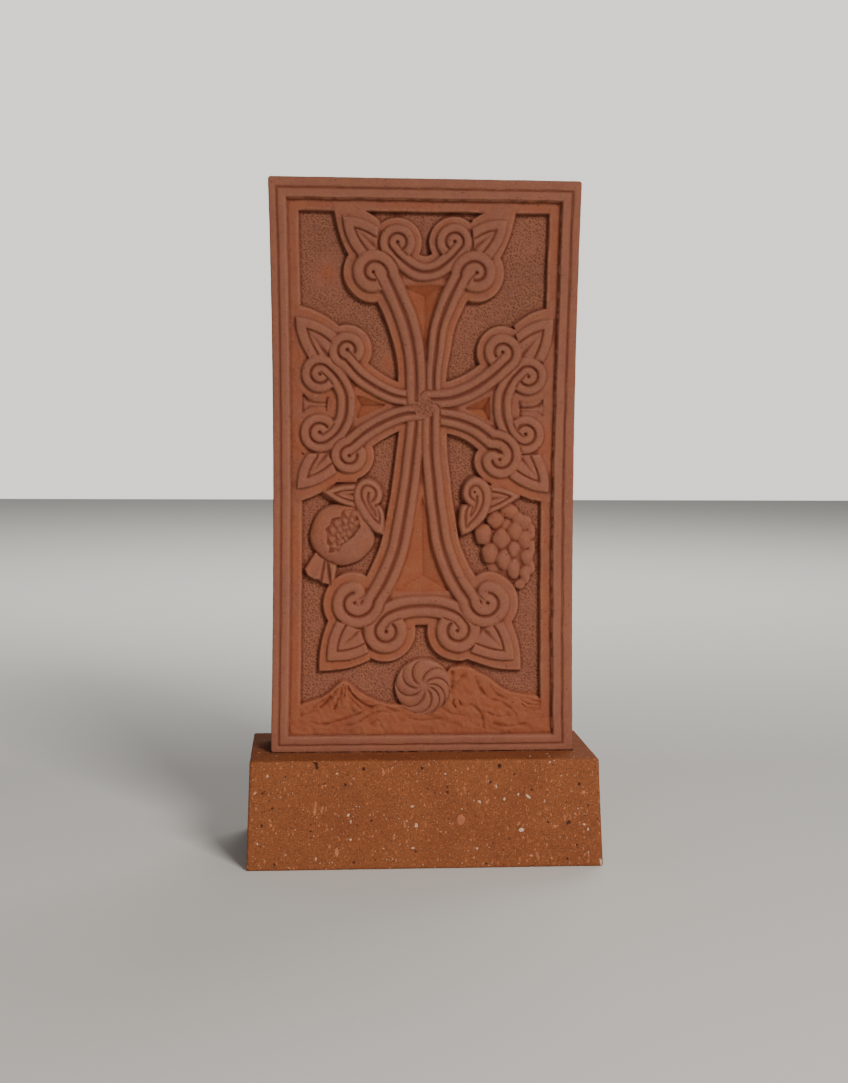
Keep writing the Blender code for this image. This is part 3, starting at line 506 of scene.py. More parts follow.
# %% Disc and hills
DISC, DISC_RADIUS, DISC_TWIST = (0.1, 27.2), 11.9, 72
BLADE_ENDS = [20, 80, 119, 162, 208, 250, 283, 308, 340]  # degrees at the rim, where each cut line ends
SKYLINE = [(-60, 18), (-54, 18), (-51, 20), (-46, 21.4), (-43, 22.4), (-40, 24.4), (-37, 27.3), (-34.6, 29.6),
           (-32.6, 29.8), (-30.5, 28), (-27, 24.8), (-23, 22.5), (-19, 20.7), (-15, 19.7), (-9, 19), (4, 19),
           (9.5, 32), (12, 35), (16, 35.8), (20, 35.2), (24, 33), (29, 30.4), (34, 26.2), (38, 24.3),
            (44, 23.2),
           (48.5, 23), (51, 21), (54, 18.6), (60, 18)]
STROKES = [  # chisel cuts: how deep, how wide, and the run
    (1.1, 0.55, [(-39.3, 22.8), (-41, 20.6), (-43.4, 18.6)]),
     (0.9, 0.5, [(-35.8, 22.2), (-36.6, 20), (-37.6, 17.8)]),
    (0.6, 0.6, [(-40, 23.8), (-43, 20.6), (-47, 17.6)]), (0.6, 0.4, [(-33, 27), (-33.2, 25), (-33.6, 22.8)]),
    (0.7, 0.5, [(-36.3, 26.4), (-37.6, 24.4), (-38.8, 22.2)]),
    (1.0, 0.5, [(-31.6, 27.6), (-30.2, 24.4), (-27, 21.2), (-24, 19.2), (-21.6, 18.6)]),
    (0.6, 0.5, [(-31.9, 26.4), (-30.8, 22.8), (-28.4, 20), (-26.4, 18)]),
    (0.7, 0.6, [(-29.6, 26.8), (-26, 24), (-22, 21.8), (-18.6, 20.6)]),
    (0.6, 0.5, [(-34.4, 27), (-34.8, 23.4), (-35, 20)]),
     (0.5, 0.5, [(-30, 21), (-30.6, 18.6), (-29.4, 16.6)]),
    (0.6, 0.6, [(-48, 12.4), (-43, 11.2), (-36, 12.8), (-28, 15.4), (-22, 18.2), (-17, 20)]),
    (0.5, 0.6, [(-33, 10.4), (-27, 12.2), (-23, 14.8), (-19, 16.4), (-14, 16.2)]),
    (0.5, 0.6, [(-56, 14.6), (-50, 15.4), (-45, 17.4)]), (0.5, 0.6, [(-22, 11), (-19, 13), (-17.6, 10.4)]),
    (0.5, 0.5, [(-15.6, 18.4), (-13, 17), (-10, 16.4)]), (0.5, 0.5, [(-6, 13.6), (0, 12.6), (8, 13.6)]),
    (0.9, 0.45, [(13.4, 21.6), (13, 20.2), (14, 18.4)]), (0.8, 0.4, [(15.5, 21.4), (16.4, 19.4)]),
    (0.8, 0.9, [(12.6, 33), (12.6, 29), (12.2, 25)]), (0.6, 0.7, [(18, 32.6), (15.2, 29.4), (12.8, 27.2)]),
    (0.6, 0.6, [(22.4, 31), (24.4, 26.6), (28.6, 22), (33, 20.6), (38, 17.4), (40.4, 14.6)]),
    (0.5, 0.6, [(28.8, 28), (31, 24.4), (36, 21.4)]),
     (0.6, 0.6, [(20.6, 19.4), (24, 17), (25.6, 13.6), (26.2, 9.6)]),
    (0.5, 0.5, [(8.6, 17.6), (13, 15.4), (18, 14.8)]), (0.5, 0.5, [(28, 16), (32, 14), (37, 14.6)]),
    (0.5, 0.4, [(42, 21.6), (45, 19.4), (50, 18.6)]), (0.5, 0.4, [(42.6, 19.6), (45.4, 17.4), (50, 17)]),
    (0.4, 0.4, [(44, 22.4), (48, 20.6), (52, 20)]), (0.5, 0.5, [(30, 11), (36, 10), (44, 11)]),
]
HILL_TOP, HILL_FOOT = GROUND + 2.3, GROUND + 3.7


def lay_disc(x, z, height):
    share = np.hypot(x - DISC[0], z - DISC[1]) / DISC_RADIUS
    angle = np.degrees(np.arctan2(z - DISC[1], x - DISC[0]))
    at_rim = (angle - DISC_TWIST * np.arccos(np.clip(share, 0, 1)) / (pi / 2) * 1.2) % 360
    ends = np.array([BLADE_ENDS[-1] - 360, *BLADE_ENDS, BLADE_ENDS[0] + 360])
    blade = np.interp(at_rim, ends, np.arange(len(ends))) % 1
    wide = np.radians(40) * share * DISC_RADIUS  # about how wide a blade is there
    from_line = np.minimum(blade, 1 - blade) * wide
    tilt = 0.35 * np.sin(pi * blade) - 0.30 * blade - 0.7 * np.exp(-(from_line / 0.36) ** 2)
    carved = dome(share, GROUND + 2.2, BAND - 1.3) + tilt * np.clip(share * 3, 0.2, 1)
    return np.where(share < 1, carved, height)


def lay_hills(x, z, height):
    skyline = np.interp(x, *np.array(SKYLINE).T)
    below = skyline - z
    slope = HILL_TOP + (HILL_FOOT - HILL_TOP) * np.clip(below / 14, 0, 1)
    facets = np.sin(0.42 * x + 1.9 * np.sin(0.31 * z + 0.2 * x))
    facets = facets * np.sin(0.5 * z - 0.23 * x + np.sin(0.3 * x))
    rough = 0.30 * facets + 0.10 * np.sin(1.3 * x + 1.7 * z + 2 * np.sin(0.6 * x - 0.4 * z))
    for deep, wide, run in STROKES:
        rough = rough - 1.1 * deep * np.exp(-(distance(x, z, smooth_curve(run, 4)) / wide) ** 2)
    wall = np.where(below > -WALL_REACH, slope + below / WALL_RUN * 2, BELOW_ALL)
    return np.maximum(height, np.where(below > 0, slope + rough * np.clip(below / 1.5, 0, 1), wall))


print("disc with", len(BLADE_ENDS), "blades")

# %% [markdown]
# ## The frame
#
# Two ribs run round the edge with a cut line between them, and inside them a step leads down to a flat strip.
# The slab is waisted, so the frame is a function of the distance in from the edge at each height.

# %% Frame profile
def half_width(z):
    """Half the slab's width at a height: waisted, wider to the top and to the foot."""
    above = np.clip((z - WAIST_RISE) / (HEIGHT - WAIST_RISE), 0, 1)
    beneath = np.clip((WAIST_RISE - z) / WAIST_RISE, 0, 1)
    widening = (TOP_WIDTH - WAIST_WIDTH) * above ** 2 + (FOOT_WIDTH - WAIST_WIDTH) * beneath ** 2
    return (WAIST_WIDTH + widening) / 2


def inset_at(x, z):
    """Distance in from the nearest edge of the slab."""
    return np.minimum(half_width(z) - np.abs(x), np.minimum(z, HEIGHT - z))


ARRIS = 0.6  # radius of the worn front edge
LEFT_DRIFT, RIGHT_LOW_DRIFT, RIGHT_HIGH_DRIFT, TOP_DRIFT, FOOT_DRIFT = 0.75, -0.6, 0.1, -0.5, 1.2
DRIFT_FROM = 3.0
RIB_END = OUTER_RIB
RIB_START = RIB_END + FRAME_GROOVE + 0.4
STEP_TOP = RIB_START + SECOND_RIB
STEP_FOOT = STEP_TOP + WALL_RUN
STRIP_END = STEP_FOOT + STRIP_WIDTH


def drifts(z):
    """How far the frame's lines lie nearer the edge than drawn: left and right, at each height."""
    right = np.interp(z, [110, 190], [RIGHT_LOW_DRIFT, RIGHT_HIGH_DRIFT])
    return LEFT_DRIFT, right


def drawn(gap, drift):
    """A true distance from the edge as a distance on the drawing of the frame."""
    return gap + drift * np.clip(gap / DRIFT_FROM, 0, 1)


def cut(gap, drift):
    """The other way round: where a line of the drawing is really cut."""
    return np.where(gap - drift >= DRIFT_FROM, gap - drift, gap / (1 + drift / DRIFT_FROM))


def frame_inset(x, z):
    """The place on the frame's drawing of each point of the slab."""
    left, right = drifts(z)
    beside = np.where(x < 0, drawn(half_width(z) + x, left), drawn(half_width(z) - x, right))
    return np.minimum(beside, np.minimum(drawn(z, FOOT_DRIFT), drawn(HEIGHT - z, TOP_DRIFT)))


FRAME_PLACES = [0, 0.06, 0.18, 0.36, ARRIS, RIB_END - 0.3, RIB_END, RIB_END + 0.35, RIB_END + 0.65,
                RIB_START - 0.35, RIB_START, RIB_START + 0.4, STEP_TOP - 0.8, STEP_TOP - 0.4, STEP_TOP,
                STEP_FOOT, STRIP_END, STRIP_END + WALL_RUN]
FRAME_HEIGHTS = [-0.6, -0.34, -0.17, -0.05, 0, 0, -0.12, -0.6, -0.95,
                 -0.85, -0.35, -0.22, -0.22, -0.3, -0.6,
                 STRIP, STRIP, BELOW_ALL]
print("frame is", round(STRIP_END, 1), "mm wide")

# %% [markdown]
# ## Carving the board
#
# Now the features are laid one over another, deepest first, as the carver leaves them. Beside the heights the
# board keeps three masks that the finishes need later: where the surface is a fresh cut, where the ground is
# stippled with a point, and how far the surface stands proud of what is around it.

# %% Carve the board
height = np.full(X.shape, GROUND)
fresh = np.zeros(X.shape)
stipple = np.ones(X.shape)


def over(points, margin, painter, *extra, tone=None):
    """Runs a painter on the part of the board round some points, and notes the tone of what it changed."""
    part = window(points, margin)
    before = height[part].copy()
    after = painter(X[part], Z[part], before, *extra)
    height[part] = after
    changed = np.abs(after - before) > 0.02
    stipple[part] = np.where(changed, 0, stipple[part])
    if tone is not None:
        fresh[part] = np.where(changed, tone, fresh[part])


shares = []
platform = np.full(X.shape, -FAR)
for band in BANDS:
    part = window(band["path"], 10)
    share = np.full(X.shape, FAR, np.float32)
    share[part] = nearness(X[part], Z[part], band["path"], band["reach"])
    shares.append(share)
    platform = np.maximum(platform, (PLATFORM_SHARE - share) * HALF_BAND)
for leaf in LEAVES:
    outline = platform_leaf(leaf)
    part = window(outline, 3)
    platform[part] = np.maximum(platform[part], depth_inside(X[part], Z[part], outline))
PLATFORM_FILLS = [[(-25.2, 226.5), (-20.8, 224.2), (-18.1, 222.7), (-20, 215), (-30, 219), (-30, 229)],
                  [(25.4, 226.5), (21, 224.2), (18.4, 222.9), (20, 215), (30, 219), (30, 229)],
                  [(-42, 109.5), (-37, 113.5), (-28, 113.5), (-27, 116.5), (-37, 118), (-44, 114)],
                  [(27.5, 112.3), (33, 111.8), (40.5, 108.5), (48, 105.5), (45, 110), (36, 117), (29, 116)]]
for outline in PLATFORM_FILLS:
    platform = np.maximum(platform, depth_inside(X, Z, outline))
height += (PLATFORM - GROUND) * np.clip(platform / WALL_RUN, 0, 1)
fresh[platform > 0] = 0.55
stipple[platform > 0] = 0

over([FRUIT, *CROWN], 16, lay_pomegranate, tone=0.35)
over([BUNCH], 20, lay_grapes, tone=0.25)
for scroll in SCROLLS:
    over([scroll["eye"]], 24, lay_scroll, scroll, tone=0.1)
for corners, junction in GEMS:
    over(corners, 1, sink_gem, corners, junction, tone=1.0)
for leaf in LEAVES:
    over(leaf[:4], 5, lay_leaf, leaf, tone=0.1)
for band, share in zip(BANDS, shares):
    height = lay_band(height, share, spread_of(band, X, Z))
    fresh[share <= 1] = 0
    stipple[share <= 1] = 0
COLLARED = [(-29.1, 63.1), (27.3, 63.1), (31.9, 123.9)]  # the groove stops short of these eyes
for band in BANDS:
    for line in band["veins"]:
        part = window(line, 3)
        height[part] = np.minimum(height[part], BAND + 0.75 * GROOVE + 1.5 * distance(X[part], Z[part], line))
    for eye in band["eyes"]:
        part = window([eye], 3)
        if eye in COLLARED:
            away = np.hypot(X[part] - eye[0], Z[part] - eye[1])
            collar = BAND - 0.35 - 1.5 * np.maximum(away - 2.2, 0)
            height[part] = np.where(away < 3.0, np.maximum(height[part], collar), height[part])
        height[part] = drill(X[part], Z[part], height[part], eye)

NOTCHES = [((-53, 140.5), (-37, 152)), ((37, 139), (53, 151))]  # a corner left between two coils
NOTCH_CUTS = [
    (0.9, 0.5, [(-50.7, 150.3), (-49, 148.5), (-46.5, 147.5), (-43, 147.2), (-41.2, 147.4)]),
    (0.8, 0.5, [(-50.9, 143.4), (-51, 147), (-50.7, 150.3)]),
     (0.9, 0.5, [(-41, 144.2), (-41.1, 146.6), (-40.6, 149.4)]),
    (0.6, 0.5, [(-50.4, 144.2), (-48, 145.6), (-44, 145.8), (-41.4, 145.7)]),
     (0.5, 0.7, [(-50, 148.9), (-49, 147.9)])]
NOTCH_FLOOR = PLATFORM - 0.3
for low, high in NOTCHES:
    part = window([low, high], 0)
    filled = height[part] < NOTCH_FLOOR
    height[part] = np.where(filled, NOTCH_FLOOR, height[part])
    stipple[part] = np.where(filled, 0, stipple[part])
    fresh[part] = np.where(filled, 0.3, fresh[part])
for deep, wide, run in NOTCH_CUTS:
    for mirrored in (run, [(-0.4 - across, up - 1.6) for across, up in run]):
        part = window(mirrored, 2)
        height[part] -= deep * np.exp(-(distance(X[part], Z[part], mirrored) / wide) ** 2)

BOSS, BOSS_RADIUS = (0.0, 145.4), 5.2
boss = np.hypot(X - BOSS[0], Z - BOSS[1]) / BOSS_RADIUS
rough = 0.28 * np.sin(2.3 * X + 1.1 * Z) * np.sin(1.9 * Z - 0.8 * X)
filled = np.clip((1 - boss + 0.6 * rough) / 0.25, 0, 1)
height = height + (BAND - 0.15 + rough - height) * filled
stipple = np.maximum(stipple, 0.75 * filled)
inset = frame_inset(X, Z)
border = np.interp(inset, FRAME_PLACES, FRAME_HEIGHTS)
on_strip = (inset < STRIP_END + 0.3) & (border >= height)
height = np.where(inset < STEP_FOOT, border, np.maximum(height, border))
fresh = np.where(on_strip, 0.6, fresh)
stipple = np.where(inset < STRIP_END + 0.3, 0, stipple)
over([(-60, 0), (60, 40)], 1, lay_hills, tone=0.8)
over([DISC], 13, lay_disc, tone=0.1)
height = np.where(inset < STEP_FOOT, border, height)
fresh = np.where(inset < STEP_TOP + 0.3, 0, fresh)
print("deepest", round(float(height.min()), 2), "mm, stippled share", round(float(stipple.mean()), 3))


# %% [markdown]
# The finish paints old carving lighter where it stands proud, as wear and painted highlight, and darker in its
# creases, as dirt and painted shade. Two copies of the board tell which is which: a point above its blurred
# surroundings stands proud, and one below a copy with all its narrow grooves filled lies in a crease.

# %% How far each place stands proud
def blurred(board, radius):
    """The board smoothed over a radius in millimetres, by three passes of a running mean."""
    half = max(1, int(radius / PITCH / 2))
    for axis in (0, 1):
        for _ in range(3):
            sums = np.cumsum(np.concatenate([np.take(board, [0] * (half + 1), axis), board,
                                             np.take(board, [-1] * half, axis)], axis), axis)
            width = 2 * half + 1
            ends = [slice(width, None) if a == axis else slice(None) for a in (0, 1)]
            starts = [slice(None, -width) if a == axis else slice(None) for a in (0, 1)]
            board = (sums[tuple(ends)] - sums[tuple(starts)]) / width
    return board


def closed(board, radius):
    """The board with every groove narrower than twice the radius filled level."""
    for pick in (np.maximum, np.minimum):
        for axis in (0, 1):
            spread = board
            for step in range(1, int(radius / PITCH) + 1):
                spread = pick(spread, pick(np.roll(board, step, axis), np.roll(board, -step, axis)))
            board = spread
    return board


CREASE_RADIUS, FULL_CREASE = 1.0, 1.0
flat_edge = np.where(inset < 0.3, 0, height)
proud = np.clip(flat_edge - blurred(flat_edge, 1.6), -1.5, 1.5) / 1.5
crease = np.clip((closed(flat_edge, CREASE_RADIUS) - flat_edge) / FULL_CREASE, 0, 1)
SMOOTH_PATCHES = [(-40.5, 202, 5.5, 7), (-15.5, 164.5, 3, 5)]  # places that the punch left out
for across, up, wide, tall in SMOOTH_PATCHES:
    patch = np.exp(-((X - across) / wide) ** 2 - ((Z - up) / tall) ** 2)
    fresh = np.where(stipple > 0.5, np.maximum(fresh, 0.8 * patch), fresh)
    stipple = stipple * (1 - 0.85 * patch)
fresh = np.clip(blurred(fresh, 0.5), 0, 1)
stipple = np.clip(blurred(stipple, 0.4), 0, 1)
print("proud from", round(float(proud.min()), 2), "to", round(float(proud.max()), 2))

# %% [markdown]
# The mesh has its corners between the board's squares, so the board is read there by weighing the four squares
# round a place.

# %% Read the board at any place
def sampled(board, x, z):
    """The board's value at places between its squares."""
    across = np.clip((x - BOARD_X[0]) / PITCH, 0, len(BOARD_X) - 1.001)
    up = np.clip((z - BOARD_Z[0]) / PITCH, 0, len(BOARD_Z) - 1.001)
    i, j = up.astype(int), across.astype(int)
    u, v = up - i, across - j
    near = board[i, j] * (1 - v) + board[i, j + 1] * v
    far = board[i + 1, j] * (1 - v) + board[i + 1, j + 1] * v
    return near * (1 - u) + far * u


print("height at the boss", round(float(sampled(height, np.array([BOSS[0]]), np.array([BOSS[1]]))[0]), 2))

# %% [markdown]
# ## The slab's mesh
#
# The slab is one closed skin. Its front is a net whose lines follow the frame, so that ribs and steps stay
# crisp; every fourth line goes on over the sides and across the plain back. Blender's Decimate modifier then
# spends the triangles where the carving needs them.

# %% A net over the whole slab
NET = 0.30
STRIDE = 4


def net_places(length):
    """Lines of the net across a length: one on each frame line and even ones between."""
    side = [*FRAME_PLACES[:-2]]
    wide = [np.linspace(a, b, max(2, int(np.ceil((b - a) / NET)) + 1))[:-1] for a, b in zip(side, side[1:])]
    side = np.concatenate([*wide, np.linspace(STEP_FOOT, STRIP_END + WALL_RUN, int(5 / NET))])
    inner = side[-1]
    count = int((length - 2 * inner) / NET)
    while (2 * len(side) + count - 1) % STRIDE:
        count += 1
    middle = np.linspace(inner, length - inner, count + 2)[1:-1]
    return np.concatenate([side, middle, length - side[::-1]]), inner


def swing(x, z, seed, length):
    """A smooth random swing between about -1 and 1, with the given wave length."""
    draw = np.random.default_rng(seed)
    total = 0
    for heading, phase in draw.uniform(0, 2 * pi, (7, 2)):
        total = total + np.sin((x * cos(heading) + z * sin(heading)) * 2 * pi / length + phase)
    return total / 3


CORNER = 1.3  # radius of the slab's worn corners
HAND = 0.15  # how far a line cut by hand strays


def hand_cut(x, z):
    """Rounds the slab's four corners and lets the carved lines stray a little."""
    half = half_width(z)
    beside = np.clip(np.abs(x) - half + CORNER, 0, CORNER)
    nearer_top = z > HEIGHT / 2
    above = np.clip(np.where(nearer_top, z - HEIGHT, -z) + CORNER, 0, CORNER)
    both = np.hypot(beside, above)
    keep = np.where(both > 0, np.maximum(beside, above) / np.maximum(both, 1e-9), 1)
    inner = np.clip(inset_at(x, z) / 2 - 0.3, 0, 1)
    new_x = x - np.sign(x) * beside * (1 - keep) + HAND * inner * swing(x, z, 3, 17)
    new_z = z - np.where(nearer_top, 1, -1) * above * (1 - keep) + HAND * inner * swing(x, z, 4, 15)
    return new_x, new_z


def front_net():
    up, inner = net_places(HEIGHT)
    across, _ = net_places(WAIST_WIDTH)

    def placed(lines, length, low, high, new_length):
        """Moves the lines near both ends to where they are cut, and spreads those between evenly."""
        first, last = cut(inner, low), new_length - cut(inner, high)
        middle = first + (lines - inner) * (last - first) / (length - 2 * inner)
        return np.where(lines < inner, cut(lines, low),
                        np.where(lines > length - inner, new_length - cut(length - lines, high), middle))

    up = placed(up, HEIGHT, FOOT_DRIFT, TOP_DRIFT, HEIGHT)
    z = np.repeat(up[:, None], len(across), axis=1)
    left, right = drifts(z)
    x = placed(across, WAIST_WIDTH, left, right, 2 * half_width(z)) - half_width(z)
    return x, z


def slab_skin():
    """Corners in millimetres (x, depth behind the frame's face, z) and faces of the closed slab."""
    x, z = front_net()
    inside = frame_inset(x, z)
    face = np.where(inside < STEP_FOOT, np.interp(inside, FRAME_PLACES, FRAME_HEIGHTS), sampled(height, x, z))
    rows, columns = x.shape
    number = np.arange(x.size).reshape(x.shape)
    x, z = hand_cut(x, z)
    places = [np.stack([x, -face, z], axis=-1).reshape(-1, 3)]
    faces = np.stack([number[:-1, :-1], number[:-1, 1:], number[1:, 1:], number[1:, :-1]], axis=-1)
    faces = faces.reshape(-1, 4).tolist()
    ring = np.concatenate([number[0, :-1], number[:-1, -1], number[-1, :0:-1], number[:0:-1, 0]])
    edge = places[0][ring]
    count = x.size
    depth = (BACK - FACE) / MM
    last = ring
    for behind in (ARRIS + 0.45, ARRIS + 1.0):
        behind_ring = edge.copy()
        behind_ring[:, 1] = behind
        places.append(behind_ring)
        new = np.arange(count, count + len(ring))
        count += len(ring)
        faces += np.stack([last, new, np.roll(new, -1), np.roll(last, -1)], axis=-1).tolist()
        last = new
    coarse_edge = edge[::STRIDE]
    levels = [*np.linspace(ARRIS + 2.2, depth - ARRIS, 20), depth - 0.18, depth]
    pulled = [0] * 20 + [0.18, ARRIS]
    middle = np.array([0, 0, HEIGHT / 2])
    for level, pull in zip(levels, pulled):
        ring_places = coarse_edge.copy()
        ring_places[:, 0] -= np.sign(coarse_edge[:, 0]) * pull * (np.abs(coarse_edge[:, 0]) > 60)
        at_foot, at_top = coarse_edge[:, 2] < 1, coarse_edge[:, 2] > HEIGHT - 1
        ring_places[:, 2] += np.where(at_foot, pull, np.where(at_top, -pull, 0))
        ring_places[:, 1] = level
        places.append(ring_places)
        new = np.arange(count, count + len(ring_places))
        count += len(ring_places)
        if len(last) != len(new):
            for k in range(len(new)):
                fine = [last[(STRIDE * k + step) % len(last)] for step in range(STRIDE + 1)]
                faces.append([int(v) for v in (*fine, new[(k + 1) % len(new)], new[k])][::-1])
        else:
            faces += np.stack([last, new, np.roll(new, -1), np.roll(last, -1)], axis=-1).tolist()
        last = new
    back_x, back_z = x[::STRIDE, ::STRIDE], z[::STRIDE, ::STRIDE]
    r, c = back_x.shape
    back = np.full((r, c), -1)
    back[0, :-1] = last[:c - 1]
    back[:-1, -1] = last[c - 1:c + r - 2]
    back[-1, :0:-1] = last[c + r - 2:2 * c + r - 3]
    back[:0:-1, 0] = last[2 * c + r - 3:]
    inner = np.stack([back_x, np.full(back_x.shape, depth), back_z], axis=-1)[1:-1, 1:-1].reshape(-1, 3)
    places.append(inner)
    back[1:-1, 1:-1] = np.arange(count, count + len(inner)).reshape(r - 2, c - 2)
    squares = np.stack([back[:-1, :-1], back[1:, :-1], back[1:, 1:], back[:-1, 1:]], axis=-1)
    faces += squares.reshape(-1, 4).tolist()
    return np.concatenate(places), faces


def mesh_object(name, places, faces):
    mesh = bpy.data.meshes.new(name)
    mesh.from_pydata(places.tolist(), [], faces)
    made = bpy.data.objects.new(name, mesh)
    bpy.context.scene.collection.objects.link(made)
    return made


def add_mask(mesh, name, values):
    mask = mesh.attributes.new(name, "FLOAT", "POINT")
    mask.data.foreach_set("value", np.asarray(values, np.float32))


def corners_of(mesh):
    places = np.empty(3 * len(mesh.vertices))
    mesh.vertices.foreach_get("co", places)
    return places.reshape(-1, 3)


def board_masks(mesh):
    """Notes on each corner of the mesh what the board says there; the sides and back get none of it."""
    places = corners_of(mesh)
    x, z = places[:, 0] / MM, (places[:, 2] - SLAB_FOOT) / MM
    front = ((places[:, 1] - FACE) / MM < -GROUND + 1.5) & (inset_at(x, z) > 0.3)
    for name, board in (("fresh", fresh), ("stipple", stipple), ("proud", proud), ("crease", crease)):
        add_mask(mesh, name, np.where(front, sampled(board, x, z), 0))


skin_places, skin_faces = slab_skin()
skin_places = skin_places * MM + (0, FACE, SLAB_FOOT)
slab = mesh_object("carved_slab", skin_places, skin_faces)
board_masks(slab.data)
print("slab net:", len(skin_faces), "faces")

# %% [markdown]
# ## Trees of nodes
#
# Both Geometry Nodes and materials are trees of nodes. One small class adds nodes to either, and another wraps
# a socket so that arithmetic on it adds Math nodes: `1 - mask * 0.5` then reads as it would on paper.

# %% Helpers for node trees
class Term:
    """An output socket that takes part in arithmetic."""

    def __init__(self, graph, socket):
        self.graph, self.socket = graph, socket

    def math(self, operation, *values):
        return self.graph.node("ShaderNodeMath", {"operation": operation}, dict(enumerate(values)))

    def __add__(self, other):
        return self.math("ADD", self, other)

    def __sub__(self, other):
        return self.math("SUBTRACT", self, other)

    def __rsub__(self, other):
        return self.math("SUBTRACT", other, self)

    def __mul__(self, other):
        return self.math("MULTIPLY", self, other)

    def __truediv__(self, other):
        return self.math("DIVIDE", self, other)

    def __rtruediv__(self, other):
        return self.math("DIVIDE", other, self)

    def __pow__(self, other):
        return self.math("POWER", self, other)

    __radd__ = __add__
    __rmul__ = __mul__


class Graph:
    """A node tree that is being built."""

    def __init__(self, tree):
        self.tree = tree

    def node(self, kind, settings=None, values=None, output=0):
        """Adds a node: its settings first, then a value or a link for each of its sockets."""
        made = self.tree.nodes.new(kind)
        for name, setting in (settings or {}).items():
            setattr(made, name, setting)
        for name, value in (values or {}).items():
            if isinstance(value, Term):
                self.tree.links.new(value.socket, made.inputs[name])
            else:
                made.inputs[name].default_value = value
        return Term(self, made.outputs[output])

    def vector(self, operation, *values, output=0):
        return self.node("ShaderNodeVectorMath", {"operation": operation}, dict(enumerate(values)), output)

    def between(self, value, low, high, low_out=0.0, high_out=1.0):
        """The value's smooth way from one number to another."""
        return self.node("ShaderNodeMapRange", {"interpolation_type": "SMOOTHSTEP"},
                         {"Value": value, 1: low, 2: high, 3: low_out, 4: high_out})

    def mix(self, factor, first, second):
        """A colour on the way from the first to the second."""
        made = self.tree.nodes.new("ShaderNodeMix")
        made.data_type = "RGBA"
        for index, value in ((0, factor), (6, first), (7, second)):
            if isinstance(value, Term):
                self.tree.links.new(value.socket, made.inputs[index])
            else:
                made.inputs[index].default_value = value if index == 0 else (*value, 1)
        return Term(self, made.outputs[2])


print("node helpers ready")

# %% [markdown]
# ## Weathering with Geometry Nodes
#
# Tuff is light volcanic stone, full of small pores, and a chisel never leaves it quite smooth. One tree of
# Geometry Nodes moves every corner of a stone along its normal: a slow noise for the unevenness of the hand, a
# fine one for the grain, and the dents of a pointed punch where the ground is stippled. Its sizes are named
# inputs of the modifier.

# %% The weathering tree
def new_tree(name, sizes):
    """A Geometry Nodes tree with named inputs. Returns its graph, its geometry and its inputs."""
    tree = bpy.data.node_groups.new(name, "GeometryNodeTree")
    tree.interface.new_socket("Geometry", in_out="INPUT", socket_type="NodeSocketGeometry")
    tree.interface.new_socket("Geometry", in_out="OUTPUT", socket_type="NodeSocketGeometry")
    for label in sizes:
        tree.interface.new_socket(label, in_out="INPUT", socket_type="NodeSocketFloat")
    start = tree.nodes.new("NodeGroupInput")
    graph = Graph(tree)
    return graph, Term(graph, start.outputs[0]), {label: Term(graph, start.outputs[label]) for label in sizes}


def close_tree(graph, geometry, material):
    """Ends a tree in Realize Instances and Set Material."""
    real = graph.node("GeometryNodeRealizeInstances", None, {0: geometry})
    coated = graph.node("GeometryNodeSetMaterial", None, {"Geometry": real, "Material": material})
    end = graph.tree.nodes.new("NodeGroupOutput")
    graph.tree.links.new(coated.socket, end.inputs[0])


def mask_of(graph, name):
    return graph.node("GeometryNodeInputNamedAttribute", {"data_type": "FLOAT"}, {"Name": name})


def weathering_tree(material):
    sizes = ["Unevenness", "Unevenness size", "Grain", "Grain size", "Dent depth", "Dent pitch"]
    g, geometry, size = new_tree("weathering", sizes)
    place = g.node("GeometryNodeInputPosition")
    normal = g.node("GeometryNodeInputNormal")

    def noise(scale, detail, seed):
        shifted = g.vector("ADD", place, (seed, 0.3 * seed, -seed))
        return g.node("ShaderNodeTexNoise", None,
                      {"Vector": shifted, "Scale": scale, "Detail": detail, "Roughness": 0.6}) - 0.5

    swell = noise(1 / size["Unevenness size"], 2.0, 1.7) * size["Unevenness"] * 2
    grain = noise(1 / size["Grain size"], 2.0, 5.1) * size["Grain"] * 2
    axes = g.node("ShaderNodeSeparateXYZ", None, {0: place})
    depth_free = g.node("ShaderNodeCombineXYZ", None, {
        "X": axes, "Y": Term(g, axes.socket.node.outputs["Z"])})
    dents = g.node("ShaderNodeTexVoronoi", {"voronoi_dimensions": "2D"},
                   {"Vector": depth_free, "Scale": 1 / size["Dent pitch"], "Randomness": 0.9})
    dent = g.between(dents, 0.10, 0.45, 1.0, 0.0) * mask_of(g, "stipple") * size["Dent depth"]
    push = swell + grain * (1 + mask_of(g, "stipple") * 0.8) - dent
    offset = g.vector("SCALE", normal)
    g.tree.links.new(push.socket, offset.socket.node.inputs["Scale"])
    moved = g.node("GeometryNodeSetPosition", None, {"Geometry": geometry, "Offset": offset})
    close_tree(g, moved, material)
    return g.tree


def run_tree(made, tree, sizes):
    """Puts a tree on an object, with its inputs set, as a live modifier."""
    modifier = made.modifiers.new(tree.name, "NODES")
    identifiers = {item.name: item.identifier for item in tree.interface.items_tree if item.in_out == "INPUT"}
    for label, value in sizes.items():
        modifier[identifiers[label]] = float(value)
    modifier.node_group = tree
    return modifier


def thin(made, target):
    """Adds a Decimate modifier that leaves about a target number of triangles."""
    triangles = sum(len(face.vertices) - 2 for face in made.data.polygons)
    modifier = made.modifiers.new("thin", "DECIMATE")
    modifier.ratio = min(1.0, target / triangles)
    modifier.use_collapse_triangulate = True


